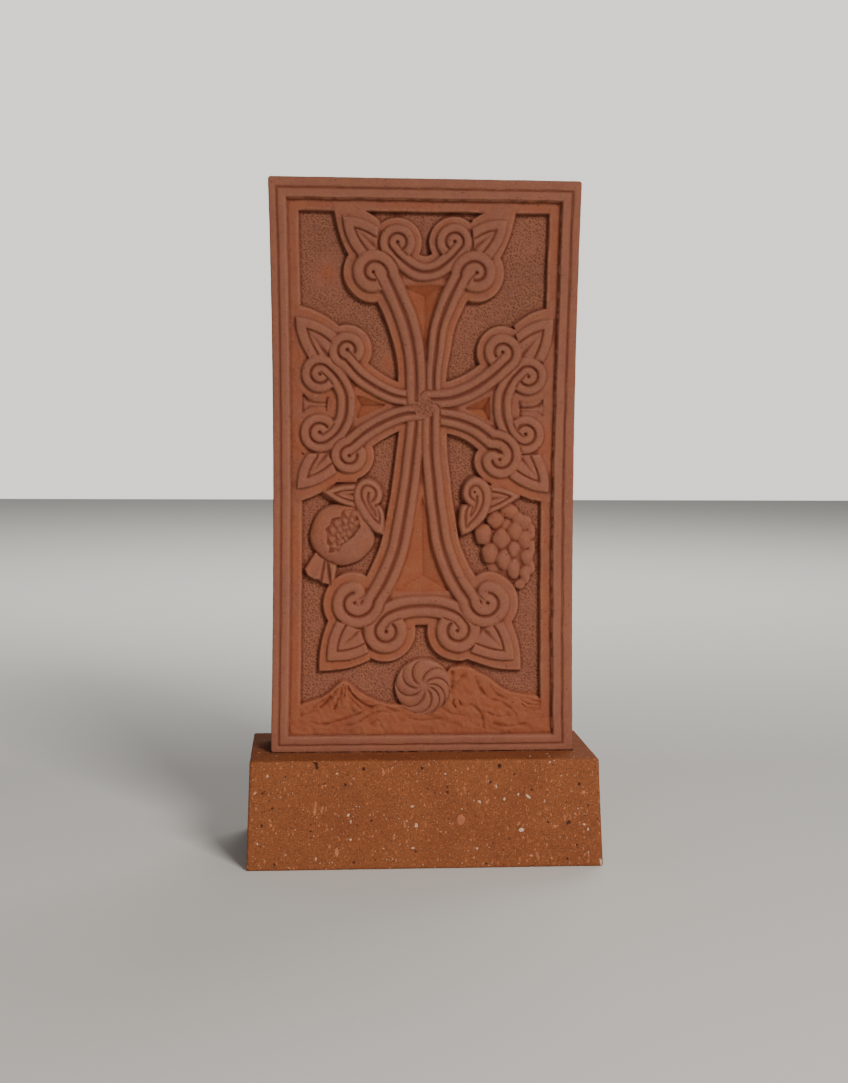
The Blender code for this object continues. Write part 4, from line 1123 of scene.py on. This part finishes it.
def settled(made):
    """Replaces an object's mesh by what its modifiers make of it, and removes them."""
    bpy.context.view_layer.update()
    view = bpy.context.evaluated_depsgraph_get()
    mesh = bpy.data.meshes.new_from_object(
        made.evaluated_get(view), preserve_all_data_layers=True, depsgraph=view)
    made.modifiers.clear()
    old = made.data
    made.data = mesh
    bpy.data.meshes.remove(old)
    mesh.name = made.name
    return made


print("weathering tree ready")

# %% [markdown]
# ## The stone's finish
#
# Both stones are tuff. The carved faces of the slab carry a dusky skin, and places that were cut last are more
# orange. The colour runs in soft clouds, and pores and a few pale grains are strewn through it. Painted shade
# darkens the pores, the punch dents and the creases, where it is mixed with dirt. Raised places carry wear and a
# painted highlight, and the slab is painted lighter towards its foot and darker towards its top. The finish reads
# Object coordinates, so it goes right through the stone and has no seams.

# %% Colours
def linear(red, green, blue):
    """A colour as it looks on screen, 0 to 255, as the light values that Blender works with."""
    def channel(value):
        value /= 255
        return value / 12.92 if value <= 0.04045 else ((value + 0.055) / 1.055) ** 2.4
    return channel(red), channel(green), channel(blue)


DUSKY = linear(130, 78, 59)
FRESH = linear(132, 64, 33)
STIPPLED = linear(122, 72, 53)
PIT_SHADE = linear(52, 22, 12)
SHADE_AND_DIRT = linear(92, 36, 17)
OLIVE = linear(134, 82, 52)
PALE = linear(172, 122, 98)


def shader_graph(name):
    material = bpy.data.materials.new(name)
    material.use_nodes = True
    return material, Graph(material.node_tree), material.node_tree.nodes["Principled BSDF"]


def feed(graph, shader, **sockets):
    for name, value in sockets.items():
        socket = shader.inputs[name.replace("_", " ")]
        if isinstance(value, Term):
            graph.tree.links.new(value.socket, socket)
        else:
            socket.default_value = value


PUNCH_PITCH = 1.1  # from one dent of the punch to the next


def slab_finish():
    material, g, shader = shader_graph("carved_tuff")
    place = Term(g, g.node("ShaderNodeTexCoord").socket.node.outputs["Object"])

    def noise(size, detail=3.0, roughness=0.55):
        return g.node("ShaderNodeTexNoise", None, {
            "Vector": place, "Scale": 1 / (size * MM), "Detail": detail, "Roughness": roughness})

    def spots(size, low, high):
        cell = g.node("ShaderNodeTexVoronoi", None, {"Vector": place, "Scale": 1 / (size * MM)})
        return g.between(cell, low, high, 1.0, 0.0)

    def mask(name):
        made = g.node("ShaderNodeAttribute", {"attribute_name": name})
        return Term(g, made.socket.node.outputs["Fac"])

    clouds = g.between(noise(26, 3), 0.35, 0.65)
    mottle = noise(3.2, 4, 0.65)
    specks = noise(0.7, 2, 0.6)
    fresh_mask = g.between(mask("fresh") + (clouds - 0.5) * 0.35 + (mottle - 0.5) * 0.5, 0.15, 0.95)
    colour = g.mix(fresh_mask, DUSKY, FRESH)
    colour = g.mix(mask("stipple") * 0.85, colour, STIPPLED)
    colour = g.mix(g.between(mottle, 0.3, 0.8) * 0.38, colour, linear(110, 60, 44))
    colour = g.mix(clouds * 0.24, colour, linear(150, 88, 64))
    colour = g.mix(g.between(noise(5, 2), 0.42, 0.64) * 0.35, colour, OLIVE)
    # Places below their blurred surroundings, such as the feet of walls: painted shade mixed with dirt
    creases = g.between(mask("proud"), -0.08, -0.5)
    colour = g.mix(creases * 0.55, colour, SHADE_AND_DIRT)
    # Narrow grooves: painted shade mixed with dirt
    colour = g.mix(g.between(mask("crease"), 0.08, 0.9) * 0.62, colour, SHADE_AND_DIRT)
    # Places that stand proud: lighter by wear and by a painted highlight
    colour = g.mix(g.between(mask("proud"), 0.05, 0.5) * 0.16, colour, PALE)
    axes = g.node("ShaderNodeSeparateXYZ", None, {0: place})
    rise = Term(g, axes.socket.node.outputs["Z"])
    flat_place = g.node("ShaderNodeCombineXYZ", None, {"X": axes, "Y": rise})
    punch = g.node("ShaderNodeTexVoronoi", {"voronoi_dimensions": "2D"},
                   {"Vector": flat_place, "Scale": 1 / (PUNCH_PITCH * MM), "Randomness": 0.9})
    # Punch dents, darkened with painted shade
    points = g.between(punch, 0.10, 0.38, 1.0, 0.0) * mask("stipple") * g.between(noise(5, 1), 0.28, 0.50)
    colour = g.mix(points * 0.52, colour, PIT_SHADE)
    # Pores, darkened with painted shade
    pores = spots(2.1, 0.10, 0.20) * g.between(noise(1.6, 1), 0.5, 0.62)
    colour = g.mix(pores * 0.6, colour, PIT_SHADE)
    grains = spots(4.7, 0.05, 0.09) * g.between(noise(2.7, 1), 0.56, 0.62)
    colour = g.mix(grains * 0.45, colour, PALE)
    # The second factor is painted light and shade: the slab lighter towards its foot and darker towards its top
    tone = g.between(specks, 0.25, 0.75, 0.88, 1.1) * g.between(rise, 0.045, 0.29, 1.13, 0.89)
    shade = g.node("ShaderNodeCombineXYZ", None, {0: tone, 1: tone, 2: tone})
    colour = g.vector("MULTIPLY", colour, shade)
    rough = 0.80 + (mottle - 0.5) * 0.12 + creases * 0.06
    bumps = specks * 0.35 + noise(0.33, 2) * 0.25 - pores * 0.7 - points * 0.8
    bump = g.node("ShaderNodeBump", None, {"Height": bumps, "Strength": 0.35, "Distance": 0.0003})
    feed(g, shader, Base_Color=colour, Roughness=rough, Normal=bump)
    shader.inputs["Specular IOR Level"].default_value = 0.35
    return material


slab_stone = slab_finish()
print("slab finish has", len(slab_stone.node_tree.nodes), "nodes")

# %% [markdown]
# The net has far more faces than the carving needs. Decimate merges them where the stone is flat, and the masks
# are then read from the board again, at the corners that are left.

# %% Weather and thin the slab
SLAB_TRIANGLES = 192000
run_tree(slab, weathering_tree(slab_stone), {
    "Unevenness": 0.00015, "Unevenness size": 0.009, "Grain": 0.00005, "Grain size": 0.0014,
    "Dent depth": 0.00040, "Dent pitch": PUNCH_PITCH * MM})
thin(slab, SLAB_TRIANGLES)
settled(slab)
for old in ("fresh", "stipple", "proud", "crease"):
    if old in slab.data.attributes:
        slab.data.attributes.remove(slab.data.attributes[old])
board_masks(slab.data)
slab.data.materials.clear()
slab.data.materials.append(slab_stone)
print("slab has", len(slab.data.polygons), "triangles")

# %% [markdown]
# ## The block
#
# The slab stands on a sawn block, a battered box with worn edges. It follows a plain rule, so Geometry Nodes
# make all of it: a cube of many small squares, whose corners are pushed onto rounded edges, spread towards the
# foot, and roughened.

# %% The block's tree
def block_tree(material):
    sizes = ["Width", "Depth", "Height", "Side batter", "Front batter", "Arris", "Pitch",
             "Unevenness", "Grain", "Pit depth", "Pit pitch"]
    g, _, size = new_tree("sawn_block", sizes)
    full = g.node("ShaderNodeCombineXYZ", None, {0: size["Width"], 1: size["Depth"], 2: size["Height"]})

    def lines(length):
        return size[length] / size["Pitch"]

    cube = g.node("GeometryNodeMeshCube", None, {
        "Size": full, "Vertices X": lines("Width"),
        "Vertices Y": lines("Depth"), "Vertices Z": lines("Height")})
    place = g.node("GeometryNodeInputPosition")
    core = g.vector("SCALE", g.vector("SUBTRACT", full, g.node(
        "ShaderNodeCombineXYZ", None, {0: size["Arris"] * 2, 1: size["Arris"] * 2, 2: size["Arris"] * 2})))
    core.socket.node.inputs["Scale"].default_value = 0.5
    inner = g.vector("MAXIMUM", g.vector("MINIMUM", place, core), g.vector("MULTIPLY", core, (-1, -1, -1)))
    out = g.vector("NORMALIZE", g.vector("SUBTRACT", place, inner))
    arm = g.vector("SCALE", out)
    g.tree.links.new(size["Arris"].socket, arm.socket.node.inputs["Scale"])
    rounded = g.vector("ADD", inner, arm)
    axes = g.node("ShaderNodeSeparateXYZ", None, {0: rounded})
    x, y, z = (Term(g, axes.socket.node.outputs[name]) for name in "XYZ")
    drop = 0.5 - z / size["Height"]
    wide = x * (1 + drop * size["Side batter"] * 2 / size["Width"])
    deep = y * (1 + drop * size["Front batter"] * 2 / size["Depth"])
    shaped = g.node("ShaderNodeCombineXYZ", None, {0: wide, 1: deep, 2: z + size["Height"] * 0.5})
    box = g.node("GeometryNodeSetPosition", None, {"Geometry": cube, "Position": shaped})

    normal = g.node("GeometryNodeInputNormal")

    def noise(scale, detail=2.0):
        return g.node("ShaderNodeTexNoise", None, {"Vector": place, "Scale": scale, "Detail": detail}) - 0.5

    def pits(scale, low, high, rarity):
        cell = g.node("ShaderNodeTexVoronoi", None, {"Vector": place, "Scale": scale})
        kept = g.between(noise(scale * 0.7, 1.0) + 0.5, rarity, rarity + 0.06)
        return g.between(cell, low, high, 1.0, 0.0) * kept

    small = pits(1 / size["Pit pitch"], 0.12, 0.26, 0.60)
    push = noise(70.0) * size["Unevenness"] * 2 + noise(700.0) * size["Grain"] * 2
    push = push - small * size["Pit depth"]
    above_foot = g.between(z, size["Height"] * -0.5, size["Height"] * -0.5 + 0.0006)
    offset = g.vector("SCALE", normal)
    g.tree.links.new((push * above_foot).socket, offset.socket.node.inputs["Scale"])
    stored = g.node("GeometryNodeStoreNamedAttribute", {"data_type": "FLOAT", "domain": "POINT"},
                    {"Geometry": box, "Name": "pit", "Value": small * 0.6})
    moved = g.node("GeometryNodeSetPosition", None, {"Geometry": stored, "Offset": offset})
    close_tree(g, moved, material)
    return g.tree


print("block tree ready")

# %% [markdown]
# The block is a coarser tuff than the slab: burnt orange, with many pores whose darkness is painted shade, pale
# pumice grains and a few long peach-coloured inclusions.

# %% The block's finish
CLAY = linear(136, 75, 37)
CLAY_DARK = linear(129, 68, 33)
PEACH = linear(184, 112, 72)
CHALK = linear(205, 178, 155)
PORE_SHADE = linear(50, 19, 7)


def block_finish():
    material, g, shader = shader_graph("sawn_tuff")
    place = Term(g, g.node("ShaderNodeTexCoord").socket.node.outputs["Object"])

    def noise(size, detail=3.0, roughness=0.55):
        return g.node("ShaderNodeTexNoise", None, {
            "Vector": place, "Scale": 1 / (size * MM), "Detail": detail, "Roughness": roughness})

    def strewn(size, low, high, rarity, stretch=(1, 1, 1)):
        """Small shapes at random places, the more of them the lower the rarity."""
        where = g.vector("MULTIPLY", place, stretch)
        settings = {"Vector": where, "Scale": 1 / (size * MM)}
        cell = g.node("ShaderNodeTexVoronoi", None, settings)
        hue = Term(g, cell.socket.node.outputs["Color"])
        pick = g.node("ShaderNodeSeparateColor", None, {0: hue})
        wobble = (noise(size * 0.45, 2) - 0.5) * 0.25
        return g.between(cell + wobble, low, high, 1.0, 0.0) * g.between(pick, rarity, rarity + 0.01)

    made = g.node("ShaderNodeAttribute", {"attribute_name": "pit"})
    pit = Term(g, made.socket.node.outputs["Fac"])
    clouds = noise(24, 3)
    mottle = noise(2.2, 4, 0.7)
    specks = noise(0.55, 2, 0.6)
    tall = (1, 1, 0.55)
    colour = g.mix(g.between(clouds, 0.35, 0.7), CLAY, CLAY_DARK)
    colour = g.mix(g.between(mottle, 0.35, 0.75) * 0.35, colour, linear(108, 57, 30))
    colour = g.mix(strewn(3.6, 0.10, 0.22, 0.80, tall) * 0.35, colour, PEACH)
    colour = g.mix(strewn(1.7, 0.16, 0.26, 0.62, tall) * 0.65, colour, PEACH)
    colour = g.mix(strewn(0.9, 0.18, 0.34, 0.60) * 0.6, colour, PEACH)
    colour = g.mix(strewn(1.25, 0.15, 0.26, 0.93) * 0.6, colour, CHALK)
    # Dark spots for pores: painted shade
    colour = g.mix(strewn(0.8, 0.2, 0.34, 0.70) * 0.6, colour, PORE_SHADE)
    colour = g.mix(strewn(1.9, 0.12, 0.22, 0.92) * 0.8, colour, PORE_SHADE)
    # The pits and pores dug into the block: painted shade in them
    colour = g.mix(g.between(pit, 0.1, 0.6) * 0.85, colour, PORE_SHADE)
    tone = g.between(specks, 0.25, 0.75, 0.66, 1.34)
    shade = g.node("ShaderNodeCombineXYZ", None, {0: tone, 1: tone, 2: tone})
    colour = g.vector("MULTIPLY", colour, shade)
    bumps = specks * 0.4 + noise(0.3, 2) * 0.3
    bump = g.node("ShaderNodeBump", None, {"Height": bumps, "Strength": 0.4, "Distance": 0.0003})
    feed(g, shader, Base_Color=colour, Roughness=0.78 + (mottle - 0.5) * 0.15, Normal=bump)
    shader.inputs["Specular IOR Level"].default_value = 0.35
    return material


block_stone = block_finish()
block = mesh_object("sawn_block", np.zeros((1, 3)), [])
SIDE_BATTER, FRONT_BATTER = 0.0014, 0.0056
run_tree(block, block_tree(block_stone), {
    "Width": BLOCK_HIGH.x - BLOCK_LOW.x - 2 * SIDE_BATTER,
    "Depth": BLOCK_HIGH.y - BLOCK_LOW.y - 2 * FRONT_BATTER,
    "Height": BLOCK_HIGH.z - BLOCK_LOW.z, "Side batter": SIDE_BATTER, "Front batter": FRONT_BATTER,
    "Arris": 0.0010, "Pitch": 0.00045, "Unevenness": 0.00018, "Grain": 0.00006,
    "Pit depth": 0.0005, "Pit pitch": 0.0030})
settled(block)

PORES = [(-45.4, 43.2, 0.7), (-45.1, 41.8, 0.6), (-25.8, 41, 0.6), (-33.4, 34.7, 0.5), (-1.6, 41.2, 0.5),
         (30.7, 41.6, 0.75), (64.2, 33.8, 0.6), (59.8, 18.2, 0.6), (59.0, 17.8, 0.4), (62.9, 8.9, 0.45),
         (-62.4, 2.6, 0.4), (-67.7, 18.3, 0.5), (1.0, 32.6, 0.4), (27, 35, 0.5), (51, 18.4, 0.45),
         (58.9, 3.3, 0.45), (67.9, 24.9, 0.4), (-22.6, 19.9, 0.4), (34.7, 11.9, 0.4), (25, 1.8, 0.4),
         (-63.4, 25.3, 0.4), (-57.8, 38.2, 0.35)]
block_places = corners_of(block.data)
pit = np.zeros(len(block_places))
block.data.attributes["pit"].data.foreach_get("value", pit)
front_depth = BLOCK_LOW.y / MM + FRONT_BATTER / MM * block_places[:, 2] / (BLOCK_HIGH.z - BLOCK_LOW.z)
for across, up, radius in PORES:
    away = np.sqrt((block_places[:, 0] / MM - across) ** 2 + (block_places[:, 1] / MM - front_depth) ** 2
                   + ((block_places[:, 2] / MM - up) * 0.8) ** 2) / radius
    pore = np.clip(1.15 - away, 0, 1)
    block_places[:, 1] += pore * radius * MM * 1.3
    pit = np.maximum(pit, np.clip(pore * 3, 0, 1))
block.data.vertices.foreach_set("co", block_places.ravel())
block.data.attributes["pit"].data.foreach_set("value", pit.astype(np.float32))
block.data.update()
thin(block, 150000)
settled(block)
block.data.materials.clear()
block.data.materials.append(block_stone)
print("block has", len(block.data.polygons), "triangles")

# %% [markdown]
# ## Grains in the block
#
# Pale chips of pumice sit in the block, sawn flush with it; the largest are long and peach-coloured, the
# smaller ones chalky. Geometry Nodes strew them over a copy of the block, turn each to the surface, flatten it,
# and dent it with noise so that no two look alike.

# %% Strew the grains
def grain_finish(name, colour, dark):
    material, g, shader = shader_graph(name)
    place = Term(g, g.node("ShaderNodeTexCoord").socket.node.outputs["Object"])
    cloud = g.node("ShaderNodeTexNoise", None, {"Vector": place, "Scale": 900.0, "Detail": 3.0})
    slow = g.node("ShaderNodeTexNoise", None, {"Vector": place, "Scale": 160.0, "Detail": 1.0})
    tint = g.mix(g.between(slow, 0.35, 0.65), colour, dark)
    tint = g.mix(g.between(cloud, 0.45, 0.75) * 0.4, tint, CLAY)
    bump = g.node("ShaderNodeBump", None, {"Height": cloud, "Strength": 0.3, "Distance": 0.0002})
    feed(g, shader, Base_Color=tint, Roughness=0.8, Normal=bump)
    return material


def grain_tree(name, material):
    g, geometry, size = new_tree(name, ["Density", "Length", "Width", "Thickness", "Seed"])
    seed = size["Seed"]
    strewn = g.node("GeometryNodeDistributePointsOnFaces", None,
                    {"Mesh": geometry, "Density": size["Density"], "Seed": seed})
    normal = Term(g, strewn.socket.node.outputs["Normal"])
    upright = g.node("FunctionNodeAlignRotationToVector", {"axis": "Z"}, {"Vector": normal})
    along = g.node("FunctionNodeAlignRotationToVector", {"axis": "Y", "pivot_axis": "Z"},
                   {"Rotation": upright, "Vector": (0.15, 0.0, 1.0)})

    def chance(low, high, offset):
        return g.node("FunctionNodeRandomValue", {"data_type": "FLOAT"},
                      {2: low, 3: high, "Seed": seed + offset}, 1)

    spin = g.node("FunctionNodeAxisAngleToRotation", None, {
        "Axis": (0, 0, 1), "Angle": chance(-0.5, 0.5, 3.0)})
    turned = g.node("FunctionNodeRotateRotation", {"rotation_space": "LOCAL"}, {0: along, 1: spin})
    grow = chance(0.35, 1.0, 1.0) ** 1.8
    shape = g.node("ShaderNodeCombineXYZ", None, {
        0: size["Width"] * grow, 1: size["Length"] * grow * chance(0.6, 1.0, 2.0), 2: size["Thickness"]})
    ball = g.node("GeometryNodeMeshUVSphere", None, {"Segments": 9, "Rings": 5, "Radius": 1.0})
    set_in = g.node("GeometryNodeInstanceOnPoints", None,
                    {"Points": strewn, "Instance": ball, "Rotation": turned, "Scale": shape})
    real = g.node("GeometryNodeRealizeInstances", None, {0: set_in})
    place = g.node("GeometryNodeInputPosition")
    wobble = g.node("ShaderNodeTexNoise", None, {"Vector": place, "Scale": 1500.0, "Detail": 1.0}, "Color")
    offset = g.vector("SCALE", g.vector("SUBTRACT", wobble, (0.5, 0.5, 0.5)))
    offset.socket.node.inputs["Scale"].default_value = 0.0007
    chipped = g.node("GeometryNodeSetPosition", None, {"Geometry": real, "Offset": offset})
    close_tree(g, chipped, material)
    return g.tree


def strew(name, material, sizes):
    made = bpy.data.objects.new(name, block.data.copy())
    bpy.context.scene.collection.objects.link(made)
    run_tree(made, grain_tree(name + "_tree", material), sizes)
    settled(made)
    print(name, "has", len(made.data.polygons), "faces")
    return made


peach_stone = grain_finish("pumice", PEACH, linear(158, 92, 56))
peach_grains = strew("pumice_grains", peach_stone, {
    "Density": 5200, "Length": 0.0016, "Width": 0.0007, "Thickness": 0.00007, "Seed": 4})
chalk_stone = grain_finish("chalk", CHALK, PEACH)
chalk_grains = strew("chalk_grains", chalk_stone, {
    "Density": 3600, "Length": 0.0008, "Width": 0.00055, "Thickness": 0.00008, "Seed": 9})

# %% [markdown]
# The inclusions that catch the eye are set in one by one: flattened balls, flush with the leaning front.

# %% The largest grains, one by one
CHIPS = [  # across, up, half width, half length, lean in degrees, chalky or not
    (-45.8, 25.3, 0.65, 3.3, 4, 0), (-42.9, 24.9, 0.5, 1.3, 20, 0), (-41.3, 25, 0.3, 1.2, 4, 0),
    (-36.9, 7.3, 0.8, 1.9, 0, 0), (46.5, 4.7, 0.7, 1.8, -18, 0), (58, 20.1, 0.6, 1.4, 0, 0),
    (14.6, 19.8, 1.7, 2.2, 6, 0), (53.9, 16.6, 0.9, 0.7, 0, 0), (60.3, 20.6, 0.4, 1.2, -14, 0),
    (66, 30.4, 0.9, 0.8, 0, 0), (39.8, 15.4, 1.1, 0.8, 0, 1), (-45.5, 4.7, 0.42, 0.9, 0, 1),
    (-70.5, 31.7, 0.4, 1.0, 45, 1), (42.7, 29.1, 0.5, 1.3, -45, 1), (-41.5, 34.5, 0.5, 0.45, 0, 1),
    (43.9, 4.9, 0.8, 0.55, 0, 1), (66, 17.3, 0.8, 0.45, 0, 1), (67.8, 15.3, 0.35, 0.6, 0, 1),
    (49.6, 27.1, 0.3, 0.8, 8, 1), (32.7, 28.1, 0.4, 0.6, 0, 1), (29.4, 33.2, 0.4, 0.8, 0, 1),
    (-31.1, 19.6, 0.4, 0.7, 0, 1), (-31.2, 12.3, 0.5, 0.5, 0, 1), (-5.4, 8.6, 0.7, 0.5, 0, 1),
    (22.4, 27.1, 0.4, 0.8, -35, 1), (38.6, 30, 0.4, 0.7, 10, 1), (-36.9, 39.2, 0.7, 0.3, -25, 1),
    (73.1, 1.8, 0.45, 1.3, 2, 1), (-4, 17.8, 0.7, 0.9, 0, 1)]
batter = atan2(FRONT_BATTER, BLOCK_HIGH.z - BLOCK_LOW.z)
chips_mesh = bmesh.new()
for across, up, wide, long, lean, _ in CHIPS:
    depth_there = BLOCK_LOW.y + FRONT_BATTER * up * MM / (BLOCK_HIGH.z - BLOCK_LOW.z)
    seat = Matrix.Translation((across * MM, depth_there, up * MM)) @ Matrix.Rotation(-batter, 4, "X")
    shape = Matrix.Rotation(radians(lean), 4, "Y") @ Matrix.Diagonal((wide * MM, 0.00012, long * MM, 1))
    bmesh.ops.create_icosphere(chips_mesh, subdivisions=3, radius=1.0, matrix=seat @ shape)
for corner in chips_mesh.verts:
    x, z = corner.co.x / MM, corner.co.z / MM
    corner.co.x += 0.10 * MM * sin(5.1 * z + 3.3 * x)
    corner.co.z += 0.10 * MM * sin(4.7 * x - 2.9 * z)
chips = bpy.data.objects.new("large_grains", bpy.data.meshes.new("large_grains"))
bpy.context.scene.collection.objects.link(chips)
chips_mesh.to_mesh(chips.data)
faces_each = len(chips.data.polygons) // len(CHIPS)
chips.data.materials.append(peach_stone)
chips.data.materials.append(chalk_stone)
for face in chips.data.polygons:
    face.material_index = CHIPS[face.index // faces_each][5]
chips_mesh.free()
print(len(CHIPS), "large grains of", faces_each, "faces each")

# %% [markdown]
# ## The bed under the slab
#
# The slab is set on the block in a thin bed of dark mortar, which was wiped off and left a ragged line along
# its foot. A curve runs round the foot, Geometry Nodes give it a round section, and noise makes it ragged.

# %% Mortar
def bed_finish():
    material, g, shader = shader_graph("mortar")
    place = Term(g, g.node("ShaderNodeTexCoord").socket.node.outputs["Object"])
    cloud = g.node("ShaderNodeTexNoise", None, {"Vector": place, "Scale": 350.0, "Detail": 4.0})
    tint = g.mix(g.between(cloud, 0.35, 0.65), linear(74, 36, 18), linear(112, 58, 32))
    bump = g.node("ShaderNodeBump", None, {"Height": cloud, "Strength": 0.5, "Distance": 0.0003})
    feed(g, shader, Base_Color=tint, Roughness=0.9, Normal=bump)
    return material


def bed_tree(material):
    g, geometry, size = new_tree("bed", ["Thickness", "Raggedness"])
    even = g.node("GeometryNodeMeshToCurve", None, {0: geometry})
    even = g.node("GeometryNodeResampleCurve", {"mode": "LENGTH"}, {"Curve": even, "Length": 0.0006})
    section = g.node("GeometryNodeCurvePrimitiveCircle", None, {"Resolution": 8, "Radius": size["Thickness"]})
    tube = g.node("GeometryNodeCurveToMesh", None, {"Curve": even, "Profile Curve": section})
    place = g.node("GeometryNodeInputPosition")
    normal = g.node("GeometryNodeInputNormal")
    rough = g.node("ShaderNodeTexNoise", None, {
        "Vector": place, "Scale": 260.0, "Detail": 3.0, "Roughness": 0.7})
    offset = g.vector("SCALE", normal)
    g.tree.links.new(((rough - 0.55) * size["Raggedness"]).socket, offset.socket.node.inputs["Scale"])
    ragged = g.node("GeometryNodeSetPosition", None, {"Geometry": tube, "Offset": offset})
    close_tree(g, ragged, material)
    return g.tree


foot_x, foot_y = FOOT_WIDTH / 2 * MM, (BACK - FACE) / 2
foot = [(-foot_x, -foot_y, BLOCK_HIGH.z), (foot_x, -foot_y, BLOCK_HIGH.z),
        (foot_x, foot_y, BLOCK_HIGH.z), (-foot_x, foot_y, BLOCK_HIGH.z)]
bed_mesh = bpy.data.meshes.new("bed")
bed_mesh.from_pydata(foot, [(0, 1), (1, 2), (2, 3), (3, 0)], [])
bed = bpy.data.objects.new("mortar_bed", bed_mesh)
bpy.context.scene.collection.objects.link(bed)
run_tree(bed, bed_tree(bed_finish()), {"Thickness": 0.00045, "Raggedness": 0.0028})
settled(bed)
print("bed has", len(bed.data.polygons), "faces")

# %% [markdown]
# ## Riding the frame
#
# Both stones replace their CAD solids and ride on the one body.

# %% Join the pieces to the frame
for piece, node in ((slab, "slab"), (block, "base")):
    piece.data.shade_smooth()
    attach(piece, "root")
    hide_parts(node)
    print(piece.name, "replaces", node)
for piece in (peach_grains, chalk_grains, chips, bed):
    piece.data.shade_smooth()
    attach(piece, "root")

# %% [markdown]
# ## Camera, floor and light
#
# The picture is taken from about two thirds of a metre away, a little from the left and slightly above the
# middle. The floor is plain and pale. One soft window of light stands in front, above and a little to the right,
# and a weak one low down in front opens the shadows. A third stands behind, and a fourth lights the far floor
# alone.

# %% Camera
CAMERA_PLACE = (-0.04995, -0.6750, 0.1850)
YAW, PITCH_DOWN, ROLL = radians(4.32), radians(4.39), radians(0.34)
FOCAL_PIXELS, PHOTO_WIDTH, PHOTO_HEIGHT = 1580.0, 848, 1083

side = Vector((cos(YAW), -sin(YAW), 0))
level = Vector((sin(YAW), cos(YAW), 0))
upright = Vector((0, 0, 1))
ahead = level * cos(PITCH_DOWN) - upright * sin(PITCH_DOWN)
top = upright * cos(PITCH_DOWN) + level * sin(PITCH_DOWN)
right_axis = side * cos(ROLL) + top * sin(ROLL)
up_axis = top * cos(ROLL) - side * sin(ROLL)

camera = bpy.data.objects.new("camera", bpy.data.cameras.new("camera"))
bpy.context.scene.collection.objects.link(camera)
camera.data.sensor_width = 36.0
camera.data.lens = FOCAL_PIXELS * camera.data.sensor_width / PHOTO_HEIGHT
turn = Matrix((right_axis, up_axis, -ahead)).transposed().to_4x4()
camera.matrix_world = Matrix.Translation(CAMERA_PLACE) @ turn
bpy.context.scene.camera = camera
print("lens", round(camera.data.lens, 1), "mm")

# %% Floor and light
FLOOR_SIZE = 6.0


def plain_finish(name, colour, roughness):
    material, g, shader = shader_graph(name)
    feed(g, shader, Base_Color=(*colour, 1), Roughness=roughness)
    return material


def plane(name, corners, material):
    made = mesh_object(name, np.array(corners, float), [[0, 1, 2, 3]])
    made.data.materials.append(material)
    return made


half_floor = FLOOR_SIZE / 2
pale = plain_finish("pale_plaster", linear(226, 223, 216), 0.9)
plane("floor", [(-half_floor, -half_floor, 0), (half_floor, -half_floor, 0),
                (half_floor, half_floor, 0), (-half_floor, half_floor, 0)], pale)


def area_light(name, place, target, size, watts, colour):
    light = bpy.data.lights.new(name, "AREA")
    light.shape, light.size, light.energy, light.color = "SQUARE", size, watts, colour
    made = bpy.data.objects.new(name, light)
    bpy.context.scene.collection.objects.link(made)
    made.location = place
    made.rotation_euler = (Vector(target) - Vector(place)).to_track_quat("-Z", "Y").to_euler()


def aimed(azimuth, elevation, span):
    """A place at a distance from the slab: azimuth to the right of straight ahead, elevation above it."""
    a, e = radians(azimuth), radians(elevation)
    return sin(a) * cos(e) * span, -cos(a) * cos(e) * span, 0.15 + sin(e) * span


MIDDLE = (0, 0, 0.15)
area_light("window", aimed(24, 28, 1.5), MIDDLE, 0.42, 19.5, (1.0, 0.97, 0.92))
area_light("fill", aimed(-14, 2, 1.2), MIDDLE, 0.35, 1.6, (0.96, 0.98, 1.0))
area_light("behind", aimed(150, 45, 1.8), MIDDLE, 1.0, 9, (1.0, 0.98, 0.95))
area_light("far floor", (0, 0.6, 1.5), (0, 3.6, 0.6), 1.2, 34, (1.0, 0.98, 0.95))

world = bpy.data.worlds.new("room")
world.use_nodes = True
room = Graph(world.node_tree)
seen = Term(room, room.node("ShaderNodeLightPath").socket.node.outputs["Is Camera Ray"])
backdrop = world.node_tree.nodes["Background"]
air = room.mix(seen, (0.80, 0.82, 0.85), linear(205, 203, 196))
room.tree.links.new(air.socket, backdrop.inputs["Color"])
room.tree.links.new((seen * 1.95 + 0.20).socket, backdrop.inputs["Strength"])
bpy.context.scene.world = world
print("stage set")
